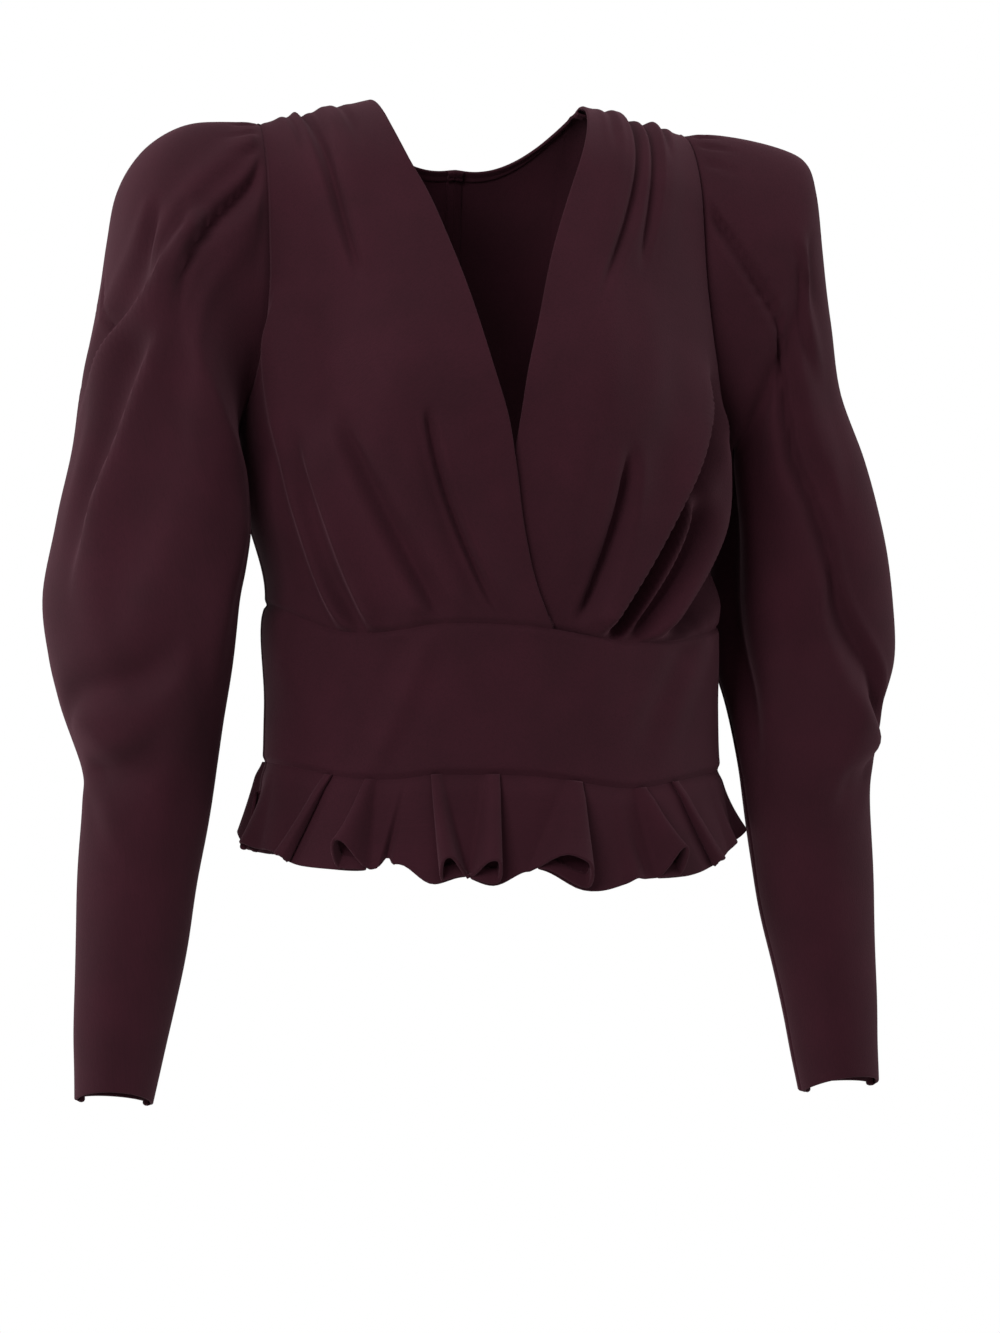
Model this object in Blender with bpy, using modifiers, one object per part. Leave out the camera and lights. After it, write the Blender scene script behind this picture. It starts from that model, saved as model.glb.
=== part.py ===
"""Ruched v-neck top with leg-of-mutton sleeves, hollow and in the pose of its wearer.

Sizes are millimetres until a mesh is made, which is in metres. The front looks to -Y and the
wearer's right side is at -X. Heights are given as drops below the mount at the base of the neck.
Each sewn piece is an open sheet laid on the body or the arm, pushed out and in by its folds,
and given its wall by a Solidify modifier.
"""

from collections import namedtuple

import bpy
import numpy as np

# Driving sizes of the cloth and its seams
WALL = 1.6
SEAM_GAP = 0.8
ARMHOLE_GAP = 0.6
UNDERLAP_INSET = 4.2
UNDERLAP_FADE = 28

# Driving sizes of the body inside
SQUARENESS = 2.3
SHOULDER_NECK = (67, -5)  # half width and drop where the neck edge meets the shoulder seam
SHOULDER_TIP = (130, 10)  # half width and drop where the shoulder seam meets the armhole
SHOULDER_ROUND = 55
SHOULDER_BEHIND = 6
BUST = (72, 190, 12)  # half spacing, drop and height of the two rises
BUST_SPREAD = (46, 62)
BACK_NECK_DROP = 24
UNDERARM_DROP = 200

# Seams that go round the body: turn is in degrees from the front, to the wearer's left
BAND_TOP = 322
WARP_START = 232
Level = namedtuple("Level", "turn band_top band_bottom hem")
LEVELS = (
    Level(-180, 320, 412, 464),
    Level(-135, 316, 408, 461),
    Level(-90, 306, 402, 452),
    Level(-65, 313, 404, 455),
    Level(-47, 322, 408, 462),
    Level(-33, 324, 410, 461),
    Level(-15, 318, 407, 471),
    Level(-3, 318, 407, 468),
    Level(6, 322, 410, 466),
    Level(17, 327, 415, 474),
    Level(25, 329, 416, 468),
    Level(40, 328, 413, 468),
    Level(70, 321, 408, 456),
    Level(90, 316, 406, 450),
    Level(135, 317, 409, 461),
    Level(180, 320, 412, 464),
)

Section = namedtuple("Section", "drop half_width front back across")
BODY = (
    Section(-20, 150, 72, 66, 0),
    Section(40, 150, 92, 80, 0),
    Section(110, 150, 110, 92, 1),
    Section(180, 150, 118, 92, 3),
    Section(250, 147, 112, 84, 6),
    Section(298, 139.5, 105, 78, 10),
    Section(322, 142, 102, 76, 10),
    Section(370, 141, 99, 78, 11),
    Section(413, 143, 101, 84, 11),
    Section(480, 156, 114, 98, 12),
)

# How far round the body each armhole lies, in degrees from the front or from the back
Armhole = namedtuple("Armhole", "drop front back")
ARMHOLE = (
    Armhole(10, 62, 62),
    Armhole(40, 62, 60),
    Armhole(80, 62, 58),
    Armhole(120, 63, 60),
    Armhole(155, 68, 68),
    Armhole(185, 79, 80),
    Armhole(200, 90, 90),
)

# The two edges of the surplice front, from the shoulder to the band
Edge = namedtuple("Edge", "drop over under")
NECK_EDGE = (
    Edge(-5, -67, 67),
    Edge(22, -62, 58),
    Edge(43, -55, 50),
    Edge(61, -46, 43),
    Edge(99, -31, 30),
    Edge(141, -17, 20),
    Edge(171, -8, 13),
    Edge(198, 0, 9),
    Edge(226, 5, 5),
    Edge(264, 11, -5),
    Edge(299, 20, -14),
    Edge(322, 30, -20),
)


def smooth(table, column, at):
    """One column of a table between its rows, as a smooth curve over the first column."""
    places = np.array([row[0] for row in table], float)
    values = np.array([getattr(row, column) for row in table], float)
    slopes = np.gradient(values, places)
    at = np.clip(np.asarray(at, float), places[0], places[-1])
    i = np.clip(np.searchsorted(places, at) - 1, 0, len(places) - 2)
    step = places[i + 1] - places[i]
    f = (at - places[i]) / step
    start = values[i] * (1 + 2 * f) * (1 - f) ** 2 + slopes[i] * step * f * (1 - f) ** 2
    end = values[i + 1] * f**2 * (3 - 2 * f) + slopes[i + 1] * step * f**2 * (f - 1)
    return start + end


def ramp(value):
    """0 below 0, 1 above 1, and smooth between."""
    value = np.clip(value, 0, 1)
    return value * value * (3 - 2 * value)


def shoulder_drop(x):
    """Drop of the line of the shoulders over a place across the body."""
    fall = (SHOULDER_TIP[1] - SHOULDER_NECK[1]) / (SHOULDER_TIP[0] - SHOULDER_NECK[0])
    return SHOULDER_NECK[1] + fall * (np.abs(x) - SHOULDER_NECK[0])


def body_point(turn, drop):
    """Outer face of the cloth round the body; turn 0 is the front and 90 the wearer's left."""
    sine, cosine = np.sin(np.radians(turn)), np.cos(np.radians(turn))
    half_width = smooth(BODY, "half_width", drop)
    depth = np.where(cosine > 0, smooth(BODY, "front", drop), smooth(BODY, "back", drop))
    power = 2 / SQUARENESS
    x = half_width * np.sign(sine) * np.abs(sine) ** power
    y = -depth * np.sign(cosine) * np.abs(cosine) ** power
    aside = (np.abs(x) - BUST[0]) / BUST_SPREAD[0]
    above = (drop - BUST[1]) / BUST_SPREAD[1]
    y = y - BUST[2] * np.exp(-(aside**2) - above**2) * ramp(cosine * 2)
    below = np.clip((drop - shoulder_drop(x)) / SHOULDER_ROUND, 0, 1)
    y = SHOULDER_BEHIND + (y - SHOULDER_BEHIND) * np.sqrt(1 - (1 - below) ** 2)
    return np.stack([x + smooth(BODY, "across", drop), y, -drop + 0 * x], axis=-1)


def turn_of(x, drop):
    """How far round the front a place across the body lies, in degrees."""
    share = (x - smooth(BODY, "across", drop)) / smooth(BODY, "half_width", drop)
    return np.sign(share) * np.degrees(np.arcsin(np.abs(share) ** (SQUARENESS / 2)))


def fall_of(length):
    """Drop below the shoulder line after a length of cloth over the round of the shoulder."""
    bend = np.minimum(length / SHOULDER_ROUND, np.pi / 2)
    return SHOULDER_ROUND * (1 - np.cos(bend)) + length - SHOULDER_ROUND * bend


def length_of(fall):
    """Length of cloth from the shoulder line to a drop below it."""
    bend = np.arccos(1 - np.clip(fall / SHOULDER_ROUND, 0, 1))
    return SHOULDER_ROUND * bend + np.maximum(fall - SHOULDER_ROUND, 0)


def outward(grid):
    """Unit vectors square to a grid whose rows go down and whose columns go round to the left."""
    down = np.gradient(grid, axis=0)
    along = np.gradient(grid, axis=1)
    square = np.cross(down, along)
    return square / np.linalg.norm(square, axis=2, keepdims=True)


Fold = namedtuple("Fold", "x1 drop1 x2 drop2 x3 drop3 width height")


def folded(folds, across, along, mm_per_across=1.0):
    """Height of a sheet over its smooth form: each fold is a ridge, or a trough, on a bent line."""
    total = np.zeros(np.broadcast(across, along).shape)
    share = np.linspace(0, 1, 25)
    scale = np.asarray(mm_per_across) + 0 * total
    for fold in folds:
        bend_x = 2 * fold.x2 - (fold.x1 + fold.x3) / 2
        bend_drop = 2 * fold.drop2 - (fold.drop1 + fold.drop3) / 2
        line_x = fold.x1 * (1 - share) ** 2 + 2 * bend_x * share * (1 - share)
        line_x = line_x + fold.x3 * share**2
        line_drop = fold.drop1 * (1 - share) ** 2 + 2 * bend_drop * share * (1 - share)
        line_drop = line_drop + fold.drop3 * share**2
        away_x = (across[..., None] - line_x) * scale[..., None]
        away = away_x**2 + (along[..., None] - line_drop) ** 2
        nearest = np.argmin(away, axis=-1)
        run_x = np.gradient(line_x)[nearest] * scale
        run_drop = np.gradient(line_drop)[nearest]
        beside = (across - line_x[nearest]) * scale * run_drop
        beside = (beside - (along - line_drop[nearest]) * run_x) / np.hypot(run_x, run_drop)
        past = np.sqrt(np.maximum(np.min(away, axis=-1) - beside**2, 0))
        ended = (nearest == 0) | (nearest == len(share) - 1)
        distance = np.where(ended, np.hypot(beside, past), beside)
        fade = np.sin(np.pi * np.clip(share[nearest], 0.02, 0.98)) ** 0.6
        steps = (distance / fold.width) ** 2
        total += fold.height * fade * (1.5 * np.exp(-steps) - 0.5 * np.exp(-steps / 4))
    return total


def sheet_object(name, grid, material):
    """The grid as an open sheet of cloth, given its wall inwards by a Solidify modifier."""
    rows, columns = grid.shape[:2]
    faces = []
    for i in range(rows - 1):
        for j in range(columns - 1):
            corner = i * columns + j
            faces.append((corner, corner + columns, corner + columns + 1, corner + 1))
    mesh = bpy.data.meshes.new(name)
    mesh.from_pydata((grid.reshape(-1, 3) / 1000).tolist(), [], faces)
    mesh.materials.append(material)
    mesh.shade_smooth()
    piece = bpy.data.objects.new(name, mesh)
    top.objects.link(piece)
    wall = piece.modifiers.new("wall", "SOLIDIFY")
    wall.thickness = WALL / 1000
    wall.offset = -1
    wall.use_rim = True
    return piece


def cloth(name, shade):
    """A material of dark wine crepe; the shade tells neighbouring pieces apart."""
    material = bpy.data.materials.new(name)
    material.use_nodes = True
    surface = material.node_tree.nodes["Principled BSDF"]
    surface.inputs["Base Color"].default_value = (0.06 * shade, 0.014 * shade, 0.024 * shade, 1)
    surface.inputs["Roughness"].default_value = 0.9
    material.diffuse_color = (0.06 * shade, 0.014 * shade, 0.024 * shade, 1)
    return material


for old in list(bpy.data.objects):
    bpy.data.objects.remove(old)
top = bpy.data.collections.new("ruched_v_neck_top")
bpy.context.scene.collection.children.link(top)

FRONT_ROWS = 28
FRONT_COLUMNS = 20
BACK_ROWS = 16

# Folds of the two fronts: ridges have a height over 0 and troughs below 0
FRONT_RIGHT_FOLDS = (
    Fold(-116, -30, -92, 84, -78, 130, 8, -4),
    Fold(-98, -30, -84, 50, -72, 90, 7, -2),
    Fold(-127, 120, -128, 205, -86, 345, 10, 8),
    Fold(-118, 205, -105, 252, -68, 345, 9, 8),
    Fold(-112, 240, -97, 290, -76, 350, 7, -5),
    Fold(-108, 196, -80, 245, -22, 320, 11, 5),
    Fold(-50, 190, -31, 250, -8, 318, 9, -4),
    Fold(-36, 190, -16, 250, 6, 318, 11, 4),
)
FRONT_LEFT_FOLDS = (
    Fold(109, -30, 95, 60, 82, 108, 7, -4),
    Fold(96, -30, 83, 75, 48, 136, 8, -4),
    Fold(75, 215, 66, 262, 46, 320, 8, -6),
    Fold(131, 160, 110, 225, 50, 340, 10, 9),
    Fold(134, 215, 118, 262, 66, 345, 7, -6),
    Fold(134, 172, 144, 240, 92, 330, 9, 8),
    Fold(112, 276, 92, 306, 66, 345, 7, -5),
    Fold(52, 200, 44, 255, 24, 345, 11, 4),
)


def warped(turn, drop):
    """Drops drawn towards the curved seam at the top of the band."""
    return drop + (smooth(LEVELS, "band_top", turn) - BAND_TOP) * ramp(
        (drop - WARP_START) / (BAND_TOP - WARP_START)
    )


def hanging(turns, first_length, x):
    """Drops of columns of cloth that go over the shoulder and down to the band."""
    top_line = shoulder_drop(x)
    last_length = length_of(BAND_TOP - top_line)
    rows = np.linspace(0, 1, turns)[:, None]
    return top_line + fall_of(first_length + (last_length - first_length) * rows)


def front_grid(side, column):
    """Base form of one front, between its neck edge and its armhole and side seam."""
    share = np.linspace(0, 1, FRONT_COLUMNS)
    neck_turn = abs(turn_of(SHOULDER_NECK[0], 0.0))
    top_turn = neck_turn + (ARMHOLE[0].front - neck_turn) * share
    top_x = BODY[0].half_width * np.sin(np.radians(top_turn)) ** (2 / SQUARENESS)
    drop = hanging(FRONT_ROWS, 0.0, top_x)
    edge_turn = turn_of(smooth(NECK_EDGE, column, drop[:, :1]), drop[:, :1])
    side_turn = side * smooth(ARMHOLE, "front", drop)
    turn = edge_turn + (side_turn - edge_turn) * share
    grid = body_point(turn, warped(turn, drop))
    grid[-1, :, 2] += SEAM_GAP / 2
    return grid if side > 0 else grid[:, ::-1]


def lap(grid):
    """1 where the left front lies under the right one, fading to 0 beyond its edge."""
    past = grid[..., 0] - smooth(NECK_EDGE, "over", -grid[..., 2])
    return ramp(1.15 - past / UNDERLAP_FADE) * ramp((-grid[..., 2] - 150) / 60)


def gathers(folds, grid, outer_column):
    """Heights of a front's folds, which are pressed flat where it is sewn to other pieces."""
    height = folded(folds, grid[..., 0], -grid[..., 2])
    height[[0, -1]] = 0
    height[:, outer_column] = 0
    height[:, 1 if outer_column == 0 else -2] *= 0.5
    return height


right_grid = front_grid(-1, "over")
right_folds = gathers(FRONT_RIGHT_FOLDS, right_grid, 0)
left_grid = front_grid(1, "under")
lapped = lap(left_grid)
left_folds = gathers(FRONT_LEFT_FOLDS, left_grid, -1) * (1 - lapped)
left_folds += gathers(FRONT_RIGHT_FOLDS, left_grid, -1) * lapped - UNDERLAP_INSET * lapped
for name, grid, height in (
    ("front_right", right_grid, right_folds),
    ("front_left", left_grid, left_folds),
):
    grid = grid + outward(grid) * height[..., None]
    grid[..., 1] -= SEAM_GAP / 2
    sheet_object(name, grid, cloth("crepe_" + name, 1.0))


def back_grid(side):
    """One back: its top edge is half the back neck and then the shoulder seam."""
    neck_turn = turn_of(SHOULDER_NECK[0], 0.0)
    tip_turn = ARMHOLE[0].back
    spread = np.concatenate(
        [np.linspace(0, neck_turn, 6), np.linspace(neck_turn, tip_turn, 7)[1:]]
    ) / tip_turn
    top_x = BODY[0].half_width * np.sin(np.radians(spread * tip_turn)) ** (2 / SQUARENESS)
    dip = np.clip(1 - (top_x / SHOULDER_NECK[0]) ** 2, 0, 1)
    drop = hanging(BACK_ROWS, length_of((BACK_NECK_DROP - shoulder_drop(0)) * dip), top_x)
    turn = side * (180 - spread * smooth(ARMHOLE, "back", drop))
    grid = body_point(turn, warped(turn, drop))
    grid[-1, :, 2] += SEAM_GAP / 2
    grid[..., 0] += side * SEAM_GAP / 2
    grid[..., 1] += SEAM_GAP / 2
    return grid if side < 0 else grid[:, ::-1]


for name, side in (("back_right", -1), ("back_left", 1)):
    grid = back_grid(side)
    sheet_object(name, grid, cloth("crepe_" + name, 1.1))


def round_grid(turn, upper, lower, rows):
    """A sheet laid round the body between two of the levels, clear of the seam at each."""
    share = np.linspace(0, 1, rows)[:, None]
    start = smooth(LEVELS, upper, turn) + SEAM_GAP / 2
    end = smooth(LEVELS, lower, turn) - SEAM_GAP / 2
    return body_point(turn + 0 * share, start + (end - start) * share)


BAND_FOLDS = (
    Fold(-38, 330, -58, 366, -80, 400, 9, 2),
    Fold(124, 322, 104, 356, 84, 390, 8, -2),
)
for name, first, last, x_gap, y_gap in (
    ("band_front", -90, 90, 0, -1),
    ("band_back_left", 90, 180, 1, 1),
    ("band_back_right", -180, -90, -1, 1),
):
    turn = np.linspace(first, last, 25 if y_gap < 0 else 12)
    grid = round_grid(turn, "band_top", "band_bottom", 6)
    grid = grid + outward(grid) * folded(BAND_FOLDS, grid[..., 0], -grid[..., 2])[..., None]
    grid[..., 0] += x_gap * SEAM_GAP / 2
    grid[..., 1] += y_gap * SEAM_GAP / 2
    sheet_object(name, grid, cloth("crepe_" + name, 0.9))

# Pleats of the flounce at its hem: where, half width and depth in mm, how far the head of the
# roll leans along the hem, and how far its two sides are drawn together
Pleat = namedtuple("Pleat", "turn half depth lean neck")
FLOUNCE_ROWS = 4
FRONT_PLEATS = (
    Pleat(-79, 13, 8, 4, 2),
    Pleat(-61, 12, 9, -5, 2),
    Pleat(-38, 13, 13, -8, 3),
    Pleat(-25, 10, 6, 4, 1),
    Pleat(-14, 7, 9, -4, 1.5),
    Pleat(-7.5, 7, 9, 4, 1.5),
    Pleat(5.5, 11, 13, -5, 3),
    Pleat(18, 10, 5, 4, 1),
    Pleat(32, 9, 10, 4, 2),
    Pleat(45, 12, 6, -4, 1),
    Pleat(61, 14, 12, 7, 3),
    Pleat(79, 12, 9, -4, 2),
)
BACK_PLEATS = (
    Pleat(103, 13, 9, 4, 2),
    Pleat(118, 12, 8, -4, 2),
    Pleat(133, 14, 12, 7, 3),
    Pleat(148, 12, 9, -5, 2),
    Pleat(164, 13, 11, 5, 3),
)


def flounce_grid(first_turn, last_turn, pleats):
    """A sheet that starts at the band and opens into rolls at the hem."""
    mm_per_degree = smooth(BODY, "half_width", 460) * np.pi / 200
    places = [first_turn, last_turn]
    for pleat in pleats:
        places += list(pleat.turn + np.linspace(-1, 1, 9) * pleat.half / mm_per_degree)
    turn = np.array([first_turn] + sorted(t for t in places if first_turn < t < last_turn))
    turn = turn[np.diff(turn, prepend=-999) > 0.6]
    turn = np.append(turn[turn < last_turn - 0.6], last_turn)
    wide = np.diff(turn) > 4.5
    turn = np.sort(np.append(turn, (turn[:-1] + turn[1:])[wide] / 2))
    share = np.linspace(0, 1, FLOUNCE_ROWS)[:, None]
    out = np.zeros((FLOUNCE_ROWS, len(turn)))
    aside = np.zeros_like(out)
    for pleat in pleats:
        at = (turn - pleat.turn) * mm_per_degree / pleat.half
        bump = (np.abs(at) < 1) * (1 + np.cos(np.pi * at)) / 2
        wave = (np.abs(at) < 1) * np.sin(2 * np.pi * at)
        out = out + pleat.depth * (0.12 + 0.88 * share) * bump
        aside = aside + share * (pleat.lean * bump + pleat.neck * wave)
    smooth_turn = np.linspace(first_turn, last_turn, 61)
    square = outward(round_grid(smooth_turn, "band_bottom", "hem", FLOUNCE_ROWS))
    moved = turn + aside / mm_per_degree
    start = smooth(LEVELS, "band_bottom", turn) + SEAM_GAP / 2
    drop = start + (smooth(LEVELS, "hem", turn) - start) * share
    grid = body_point(moved, drop)
    for axis in range(3):
        for row in range(FLOUNCE_ROWS):
            grid[row, :, axis] += out[row] * np.interp(moved[row], smooth_turn, square[row, :, axis])
    return grid


for name, first, last, pleats, x_gap, y_gap in (
    ("flounce_front", -90, 90, FRONT_PLEATS, 0, -1),
    ("flounce_back_left", 90, 180, BACK_PLEATS, 1, 1),
    (
        "flounce_back_right",
        -180,
        -90,
        [pleat._replace(turn=-pleat.turn, lean=-pleat.lean) for pleat in BACK_PLEATS],
        -1,
        1,
    ),
):
    grid = flounce_grid(first, last, pleats)
    grid[..., 0] += x_gap * SEAM_GAP / 2
    grid[..., 1] += y_gap * SEAM_GAP / 2
    sheet_object(name, grid, cloth("crepe_" + name, 1.2))

# Rings of a sleeve: where its outer and inner lines are, and how deep it is before and behind
Ring = namedtuple("Ring", "out_x out_drop in_x in_drop front back ahead")
SLEEVE_RIGHT = (
    Ring(131, 10, 148, 200, 62, 62, 3),
    Ring(162, 10, 149, 205, 68, 68, 3),
    Ring(185, 14, 149, 210, 71, 72, 3),
    Ring(206, 31, 148, 216, 73, 75, 3),
    Ring(219.5, 54, 147, 222, 74, 76, 3),
    Ring(226, 85, 145, 231, 73, 76, 3),
    Ring(232, 125, 143.5, 242, 71, 74, 4),
    Ring(240, 168, 142.5, 255, 68, 71, 4),
    Ring(247, 210, 142.5, 268, 66, 69, 3),
    Ring(256, 255, 145, 286, 64, 66, 2),
    Ring(265, 300, 149, 306, 61, 63, 0),
    Ring(262, 338, 152, 338, 57, 59, -1),
    Ring(255, 366, 155.5, 364, 53, 54, -3),
    Ring(242, 406, 160, 400, 46, 47, -6),
    Ring(242, 428, 164, 428, 43, 45, -8),
    Ring(245.5, 486, 174.5, 486, 39, 41, -13),
    Ring(247, 546, 185.5, 546, 34, 36, -19),
    Ring(247, 603, 200, 607, 29, 31, -25),
)
SLEEVE_LEFT = (
    Ring(131, 10, 156, 200, 62, 62, 3),
    Ring(158, 9, 159, 205, 68, 68, 3),
    Ring(183, 14, 160, 210, 71, 72, 3),
    Ring(206, 24, 160, 216, 73, 75, 3),
    Ring(213.5, 42, 160, 222, 74, 76, 3),
    Ring(218, 79, 160, 231, 73, 76, 3),
    Ring(224.5, 125, 160, 242, 71, 74, 4),
    Ring(231, 170, 160, 255, 68, 71, 4),
    Ring(247.5, 212, 159, 268, 66, 69, 3),
    Ring(260, 260, 158, 286, 64, 66, 2),
    Ring(266, 303, 158, 306, 61, 63, 0),
    Ring(266.5, 338, 161, 338, 57, 59, -1),
    Ring(259, 368, 165, 366, 53, 54, -3),
    Ring(253, 402, 168, 400, 46, 47, -6),
    Ring(250, 428, 171.5, 428, 43, 45, -8),
    Ring(251, 486, 178.5, 486, 39, 41, -13),
    Ring(251, 546, 191, 546, 34, 36, -19),
    Ring(251, 604, 202, 608, 29, 31, -25),
)
SLEEVE_RINGS = 26
SLEEVE_COLUMNS = 15
CUFF_RISE = 10  # how much higher the front of each wrist hem lies than the back


# Folds of a sleeve: x is the turn round it from the outer seam, over the front, in degrees,
# and drop is the length of cloth from the armhole, down the sleeve at that turn
SLEEVE_RIGHT_FOLDS = (
    Fold(40, -25, 66, 30, 94, 120, 8, -9),
    Fold(72, 55, 58, 132, 16, 250, 14, 7),
    Fold(88, 80, 56, 224, 28, 400, 14, 7),
    Fold(92, 262, 68, 336, 14, 462, 9, 9),
    Fold(50, 360, 30, 425, 8, 470, 7, -7),
    Fold(120, 40, 118, 110, 100, 230, 13, 6),
    Fold(285, 60, 300, 140, 335, 260, 14, 7),
    Fold(262, 90, 290, 230, 330, 400, 14, 7),
    Fold(265, 275, 295, 345, 345, 462, 9, 9),
    Fold(318, -25, 296, 30, 272, 110, 8, -9),
)
SLEEVE_LEFT_FOLDS = (
    Fold(62, -20, 107, 63, 86, 215, 7, -7),
    Fold(90, 190, 73, 300, 40, 420, 7, -9),
    Fold(58, -20, 78, 34, 92, 56, 6, -4),
    Fold(74, 50, 78, 95, 48, 180, 12, 7),
    Fold(76, 180, 58, 290, 26, 420, 12, 7),
    Fold(110, 210, 92, 300, 58, 430, 11, 6),
    Fold(295, 50, 285, 95, 315, 185, 12, 7),
    Fold(270, 190, 290, 300, 325, 430, 9, -7),
    Fold(300, -20, 262, 63, 275, 200, 8, -7),
    Fold(285, 180, 304, 290, 336, 420, 12, 7),
)


def sleeve_grid(side, rings):
    """Half a sleeve's base form; side tells the arm, and the turn runs out, front, in, back."""
    turn = np.linspace(0, 360, 2 * SLEEVE_COLUMNS - 1)
    station = np.linspace(0, len(rings) - 1, SLEEVE_RINGS)
    Placed = namedtuple("Placed", ("place",) + Ring._fields)
    table = [Placed(i, *ring) for i, ring in enumerate(rings)]
    value = {field: smooth(table, field, station)[:, None] for field in Ring._fields}
    cosine, sine = np.cos(np.radians(turn)), np.sin(np.radians(turn))
    across = (value["out_x"] + value["in_x"]) / 2
    across = across + (value["out_x"] - value["in_x"]) / 2 * cosine
    drop = (value["out_drop"] + value["in_drop"]) / 2
    drop = drop + (value["out_drop"] - value["in_drop"]) / 2 * cosine
    drop = drop - CUFF_RISE * np.maximum(sine, 0) * ramp((station[:, None] - len(rings) + 3) / 2)
    depth = np.where(sine > 0, value["front"], value["back"])
    ahead = value["ahead"] - depth * np.sign(sine) * np.abs(sine) ** 0.9
    grid = np.stack([side * across, ahead, -drop], axis=-1)
    loop_drop = ARMHOLE[0].drop + (UNDERARM_DROP - ARMHOLE[0].drop) * (1 - cosine) / 2
    front_turn = smooth(ARMHOLE, "front", loop_drop)
    back_turn = 180 - smooth(ARMHOLE, "back", loop_drop)
    loop = body_point(side * np.where(sine > 0, front_turn, back_turn), loop_drop)
    loop[:, 0] += side * ARMHOLE_GAP
    blend = ramp(station / 3)[:, None, None]
    return loop * (1 - blend) + grid * blend


def folded_sleeve(side, base, folds):
    """The sleeve's form with its folds; they die away at the armhole and the wrist."""
    lengths = np.linalg.norm(np.diff(base, axis=0), axis=2)
    along = np.vstack([np.zeros(base.shape[1]), np.cumsum(lengths, axis=0)])
    girth = np.linalg.norm(np.diff(base, axis=1), axis=2).sum(axis=1)
    turn = np.linspace(0, 360, base.shape[1]) + 0 * along
    height = folded(folds, turn, along, (girth / 360)[:, None] + 0 * along)
    height = height * ramp(along / 12) * ramp((along[-1] - along) / 40)
    return base - side * outward(base) * height[..., None]


for name, side, rings, folds in (
    ("right", -1, SLEEVE_RIGHT, SLEEVE_RIGHT_FOLDS),
    ("left", 1, SLEEVE_LEFT, SLEEVE_LEFT_FOLDS),
):
    whole = folded_sleeve(side, sleeve_grid(side, rings), folds)
    for half, grid, y_gap in (
        ("top", whole[:, :SLEEVE_COLUMNS], -1),
        ("under", whole[:, SLEEVE_COLUMNS - 1 :], 1),
    ):
        grid = grid.copy()
        grid[..., 1] += y_gap * SEAM_GAP / 2
        if side > 0:
            grid = grid[:, ::-1]
        sheet_object("sleeve_" + name + "_" + half, grid, cloth("crepe_sleeve_" + name + half, 1.15))
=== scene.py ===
from collections import namedtuple
from math import cos, pi, prod, radians, sin

import bpy
import numpy as np
from mathutils import Matrix, Vector


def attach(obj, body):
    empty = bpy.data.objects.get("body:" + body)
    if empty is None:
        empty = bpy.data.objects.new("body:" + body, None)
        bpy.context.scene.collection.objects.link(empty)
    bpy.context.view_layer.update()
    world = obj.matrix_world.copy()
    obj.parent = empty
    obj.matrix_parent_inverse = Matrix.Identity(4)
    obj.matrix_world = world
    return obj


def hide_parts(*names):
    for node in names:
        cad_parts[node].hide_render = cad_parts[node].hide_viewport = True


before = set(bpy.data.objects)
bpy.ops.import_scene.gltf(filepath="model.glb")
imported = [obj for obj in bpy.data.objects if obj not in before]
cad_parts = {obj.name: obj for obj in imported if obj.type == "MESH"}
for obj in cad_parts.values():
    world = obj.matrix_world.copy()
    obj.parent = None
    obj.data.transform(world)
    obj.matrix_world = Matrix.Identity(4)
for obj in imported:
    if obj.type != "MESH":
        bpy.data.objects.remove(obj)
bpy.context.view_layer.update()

# Camera
# Level with the middle of the garment, 2 m away and 10 degrees to the wearer's right of
# straight ahead; at the garment 1000 pixels take in 0.62 m.
CAMERA_TURN = radians(-10)
CAMERA_AWAY, VIEW_WIDTH, SENSOR = 2.0, 0.62, 36.0
CAMERA_ASIDE, CAMERA_HEIGHT = 0.0161, -0.3438
across_view = Vector((cos(CAMERA_TURN), sin(CAMERA_TURN), 0))
into_view = Vector((-sin(CAMERA_TURN), cos(CAMERA_TURN), 0))
lens = bpy.data.cameras.new("camera")
lens.sensor_fit = "HORIZONTAL"
lens.sensor_width = SENSOR
lens.lens = SENSOR * CAMERA_AWAY / VIEW_WIDTH
camera = bpy.data.objects.new("camera", lens)
bpy.context.scene.collection.objects.link(camera)
placed = Matrix((across_view, Vector((0, 0, 1)), -into_view)).transposed().to_4x4()
placed.translation = (
    across_view * CAMERA_ASIDE - into_view * CAMERA_AWAY + Vector((0, 0, CAMERA_HEIGHT))
)
camera.matrix_world = placed
bpy.context.scene.camera = camera

# The body under the cloth
# One form that every piece lies on. Sizes are in mm and drops run down from the frame's
# origin; turns are in degrees, 0 at the middle of the front and 90 at the wearer's left.
SQUARENESS = 2.3
# Places of the shoulder seam's ends: across, drop
SHOULDER_NECK, SHOULDER_TIP = (67, -5), (130, 10)
SHOULDER_ROUND, SHOULDER_BEHIND = 55, 6
BAND_TOP, WARP_START = 322, 232

# Drops of the seams and the hem round the body
Level = namedtuple("Level", "turn band_top band_bottom hem")
LEVELS = (
    Level(-180, 320, 412, 464),
    Level(-135, 316, 408, 463),
    Level(-90, 306, 402, 455),
    Level(-69, 311, 403, 454),
    Level(-58, 316, 405, 460),
    Level(-47, 322, 408, 462),
    Level(-33, 324, 410, 462),
    Level(-25, 322, 409, 459),
    Level(-18, 319, 407, 470),
    Level(-11, 318, 407, 466),
    Level(-5, 318, 407, 471),
    Level(2, 320, 408, 462),
    Level(10, 324, 411, 474),
    Level(25, 329, 416, 469),
    Level(40, 328, 413, 468),
    Level(52, 325, 410, 463),
    Level(70, 321, 408, 453),
    Level(90, 316, 406, 452),
    Level(135, 317, 409, 463),
    Level(180, 320, 412, 464),
)

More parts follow.
